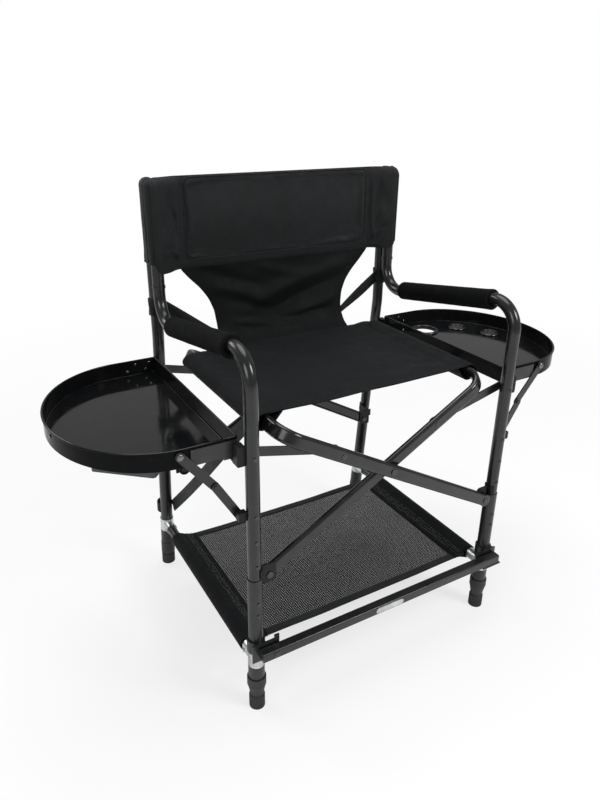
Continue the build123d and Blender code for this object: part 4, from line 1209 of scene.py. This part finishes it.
def tray_lip(name):
    """Rolled lip and a bead round the floor of a tray."""
    low, high = box_mm(name + "_tray")
    lip = Shape()
    lip.add(*cord(tray_rim(name, 1.0, high[2] - 0.4), 1.9, sides=12, closed=True))
    lip.add(*cord(tray_rim(name, 4.4, low[2] + 2.6), 1.3, closed=True))
    return lip


def tray_rivets(name, side):
    """Rivets on a tray's end walls, along its curved rim and at the tops of its braces."""
    low, high = box_mm(name + "_tray")
    inner = tray_edges(name)[0] + 1.0
    rivets = Shape()
    for x, drop in ((14, 8), (22, 22), (44, 8), (62, 22)):
        for end, face in ((low[1] + 3.3, -1), (high[1] - 3.3, 1)):
            rivets.add(*rivet_head((side * (inner + x), end, high[2] - drop), 3.0, face * 1.3))
    rim = tray_rim(name, 0, high[2] - 13)
    for share in (0.30, 0.44, 0.58, 0.72):
        here = int(share * len(rim))
        outward = np.cross(rim[here + 1] - rim[here - 1], [0, 0, 1]) * side
        outward /= np.linalg.norm(outward)
        rivets.add(*cord([rim[here] - outward * 2, rim[here] + outward * 0.9], 3.2, sides=16))
    brace_low, brace_high = box_mm(name + "_brace_upper")
    top_x = brace_high[0] - 8 if side > 0 else brace_low[0] + 8
    for end, face in ((low[1] - 6.0, -1), (high[1] + 6.0, 1)):
        rivets.add(*rivet_head((top_x, end, brace_high[2] - 8), 6.2, -face * 2.2))
    return rivets


def tray_marks(name, side):
    """Plain embossed curl and line on a tray's front hinge plate."""
    low, high = box_mm(name + "_tray")
    inner = tray_edges(name)[0] + 1.0
    middle_z = (low[2] + high[2]) / 2
    curl = [(30 + 7 * math.cos(a), 7 * math.sin(a)) for a in np.radians(np.linspace(-120, 150, 24))]
    marks = Shape()
    for line in (curl, [(40, 0), (52, 0), (66, 0)]):
        marks.add(*cord([(side * (inner + x), low[1] - 1.3, middle_z + z) for x, z in line], 0.7))
    return marks


def tray_details():
    """Lip, rivets and embossed marks of each tray."""
    for name, side in SIDES.items():
        for shape, ending, material, slot in (
                (tray_lip(name), "_tray_lip", TRAY, "tray_black"),
                (tray_rivets(name, side), "_tray_rivets", BRIGHT_RIVET, "rivet_dark"),
                (tray_marks(name, side), "_tray_emboss", SATIN, "frame_black")):
            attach(shape.build(name + ending, material, slot), name + "_side_tray")


# x from the tray's inner edge, y from its middle, bore radius and number of rubber petals
GROMMETS = ((79.0, 141.5, 29.0, 0), (169.0, 117.5, 17.0, 8), (210.0, 41.5, 17.0, 8))


def grommet_petals(centre, bore, count, floor):
    """Rubber petals that droop towards the middle of a grommet."""
    half_angle = math.pi / count - 0.05
    petals = []
    for middle in 2 * math.pi * np.arange(count) / count:
        angle, reach = np.meshgrid(np.linspace(-half_angle, half_angle, 7), np.linspace(2.2, bore + 0.6, 6),
                                   indexing="ij")
        droop = floor + 2.0 - 3.2 * (1 - reach / bore)
        petals.append(np.stack([centre[0] + reach * np.cos(middle + angle),
                                centre[1] + reach * np.sin(middle + angle), droop], axis=2))
    return petals


def tray_grommets():
    """Raised rims of the cup ring and tool grommets, with rubber petals in the grommets."""
    low, high = box_mm("right_tray")
    floor = low[2] + 2
    rims, petals = Shape(), Shape()
    for x, y, bore, count in GROMMETS:
        centre = (low[0] + x, (low[1] + high[1]) / 2 + y, floor)
        profile = [(bore + 7, 0), (bore + 6.6, 3), (bore + 4.5, 5.4), (bore + 2.2, 5.6),
                   (bore + 0.6, 4.4), (bore + 0.2, 0)]
        rims.add(*lathe(profile, centre, closed=True))
        if count:
            for petal in grommet_petals(centre, bore, count, floor):
                petals.add(*thick_sheet(petal, 1.2))
    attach(rims.build("right_tray_rims", GLOSS_COAT, "holder_black"), "right_side_tray")
    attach(petals.build("right_tray_petals", RUBBER, "holder_black"), "right_side_tray")


# ---------------------------------------------------------------- camera, light and floor
FLOOR = 60              # metres from the chair to the floor's edge
# name, place, target, diameter and power, in metres and watts
LIGHTS = (
    ("key", (1.5, -2.4, 2.6), (0, 0, 0.5), 1.3, 60),
    ("fill", (-2.6, -1.6, 1.9), (0, 0, 0.5), 1.6, 26),
    ("top", (0.1, 0.4, 3.4), (0, 0, 0.5), 2.4, 44),
    ("back", (-2.0, 2.6, 2.6), (0, 0, 0.6), 1.6, 26))
CAMERA_PLACE = (-0.7146, -1.1170, 1.1167)
CAMERA_RIGHT = (0.86697, -0.49830, 0.00831)
CAMERA_UP = (0.18992, 0.34575, 0.91890)
CAMERA_BACK = (-0.46076, -0.79508, 0.39439)


def studio_floor():
    """Pale floor that fades to plain white away from the chair."""
    material, tree, shader = new_material("studio_floor", (0.93, 0.93, 0.93), Roughness=0.8)
    tint(tree, shader, noise(tree, 3, 2), (0.92, 0.92, 0.92), (0.95, 0.95, 0.95))
    position = tree.nodes.new("ShaderNodeNewGeometry")
    far = tree.nodes.new("ShaderNodeVectorMath")
    far.operation = "LENGTH"
    tree.links.new(position.outputs["Position"], far.inputs[0])
    path = tree.nodes.new("ShaderNodeLightPath")
    pale = math_node(tree, "MULTIPLY", spread(tree, far.outputs["Value"], 0.7, 1.0, 0.7, 2.6),
                     path.outputs["Is Camera Ray"])
    glow = node(tree, "ShaderNodeEmission", Color=(1, 1, 1, 1), Strength=1.0)
    mix = tree.nodes.new("ShaderNodeMixShader")
    for socket, value in zip(mix.inputs, (pale, shader.outputs[0], glow.outputs[0])):
        tree.links.new(value, socket)
    tree.links.new(mix.outputs[0], tree.nodes["Material Output"].inputs["Surface"])
    mesh = bpy.data.meshes.new("floor")
    corners = [(-FLOOR, -FLOOR, 0), (FLOOR, -FLOOR, 0), (FLOOR, FLOOR, 0), (-FLOOR, FLOOR, 0)]
    mesh.from_pydata(corners, [], [(0, 1, 2, 3)])
    mesh.materials.append(material)
    add_object("floor", mesh)


def studio_lights():
    """Four soft disc lights and a white world that lights the chair dimly."""
    for name, place, target, size, power in LIGHTS:
        light = bpy.data.lights.new(name, "AREA")
        light.shape = "DISK"
        light.size = size
        light.energy = power
        lamp = add_object(name, light)
        lamp.location = place
        lamp.rotation_euler = (Vector(target) - Vector(place)).to_track_quat("-Z", "Y").to_euler()
    world = bpy.data.worlds.new("studio")
    bpy.context.scene.world = world
    world.use_nodes = True
    tree = world.node_tree
    path = tree.nodes.new("ShaderNodeLightPath")
    seen = spread(tree, path.outputs["Is Camera Ray"], 0.36, 1.0, 0, 1)
    tree.links.new(seen, tree.nodes["Background"].inputs["Strength"])
    tree.nodes["Background"].inputs["Color"].default_value = (1, 1, 1, 1)
    bpy.context.scene.view_settings.view_transform = "Standard"


def camera():
    """Camera that looks down on the chair from its front left."""
    view = bpy.data.cameras.new("camera")
    view.lens = 29.615
    view.sensor_width = 36
    view.shift_x = 0.0041
    view.shift_y = -0.0214
    view.clip_start = 0.05
    seen = add_object("camera", view)
    axes = [CAMERA_RIGHT, CAMERA_UP, CAMERA_BACK, CAMERA_PLACE]
    seen.matrix_world = Matrix([[axis[row] for axis in axes] for row in range(3)] + [[0, 0, 0, 1]])
    bpy.context.scene.camera = seen


paint_nodes()
seat_cloth()
back_band()
back_pad()
back_lower()
band_piping()
back_pockets()
waist_straps()
shelf()
arm_pads()
carry_strap()
tray_details()
tray_grommets()
studio_floor()
studio_lights()
camera()
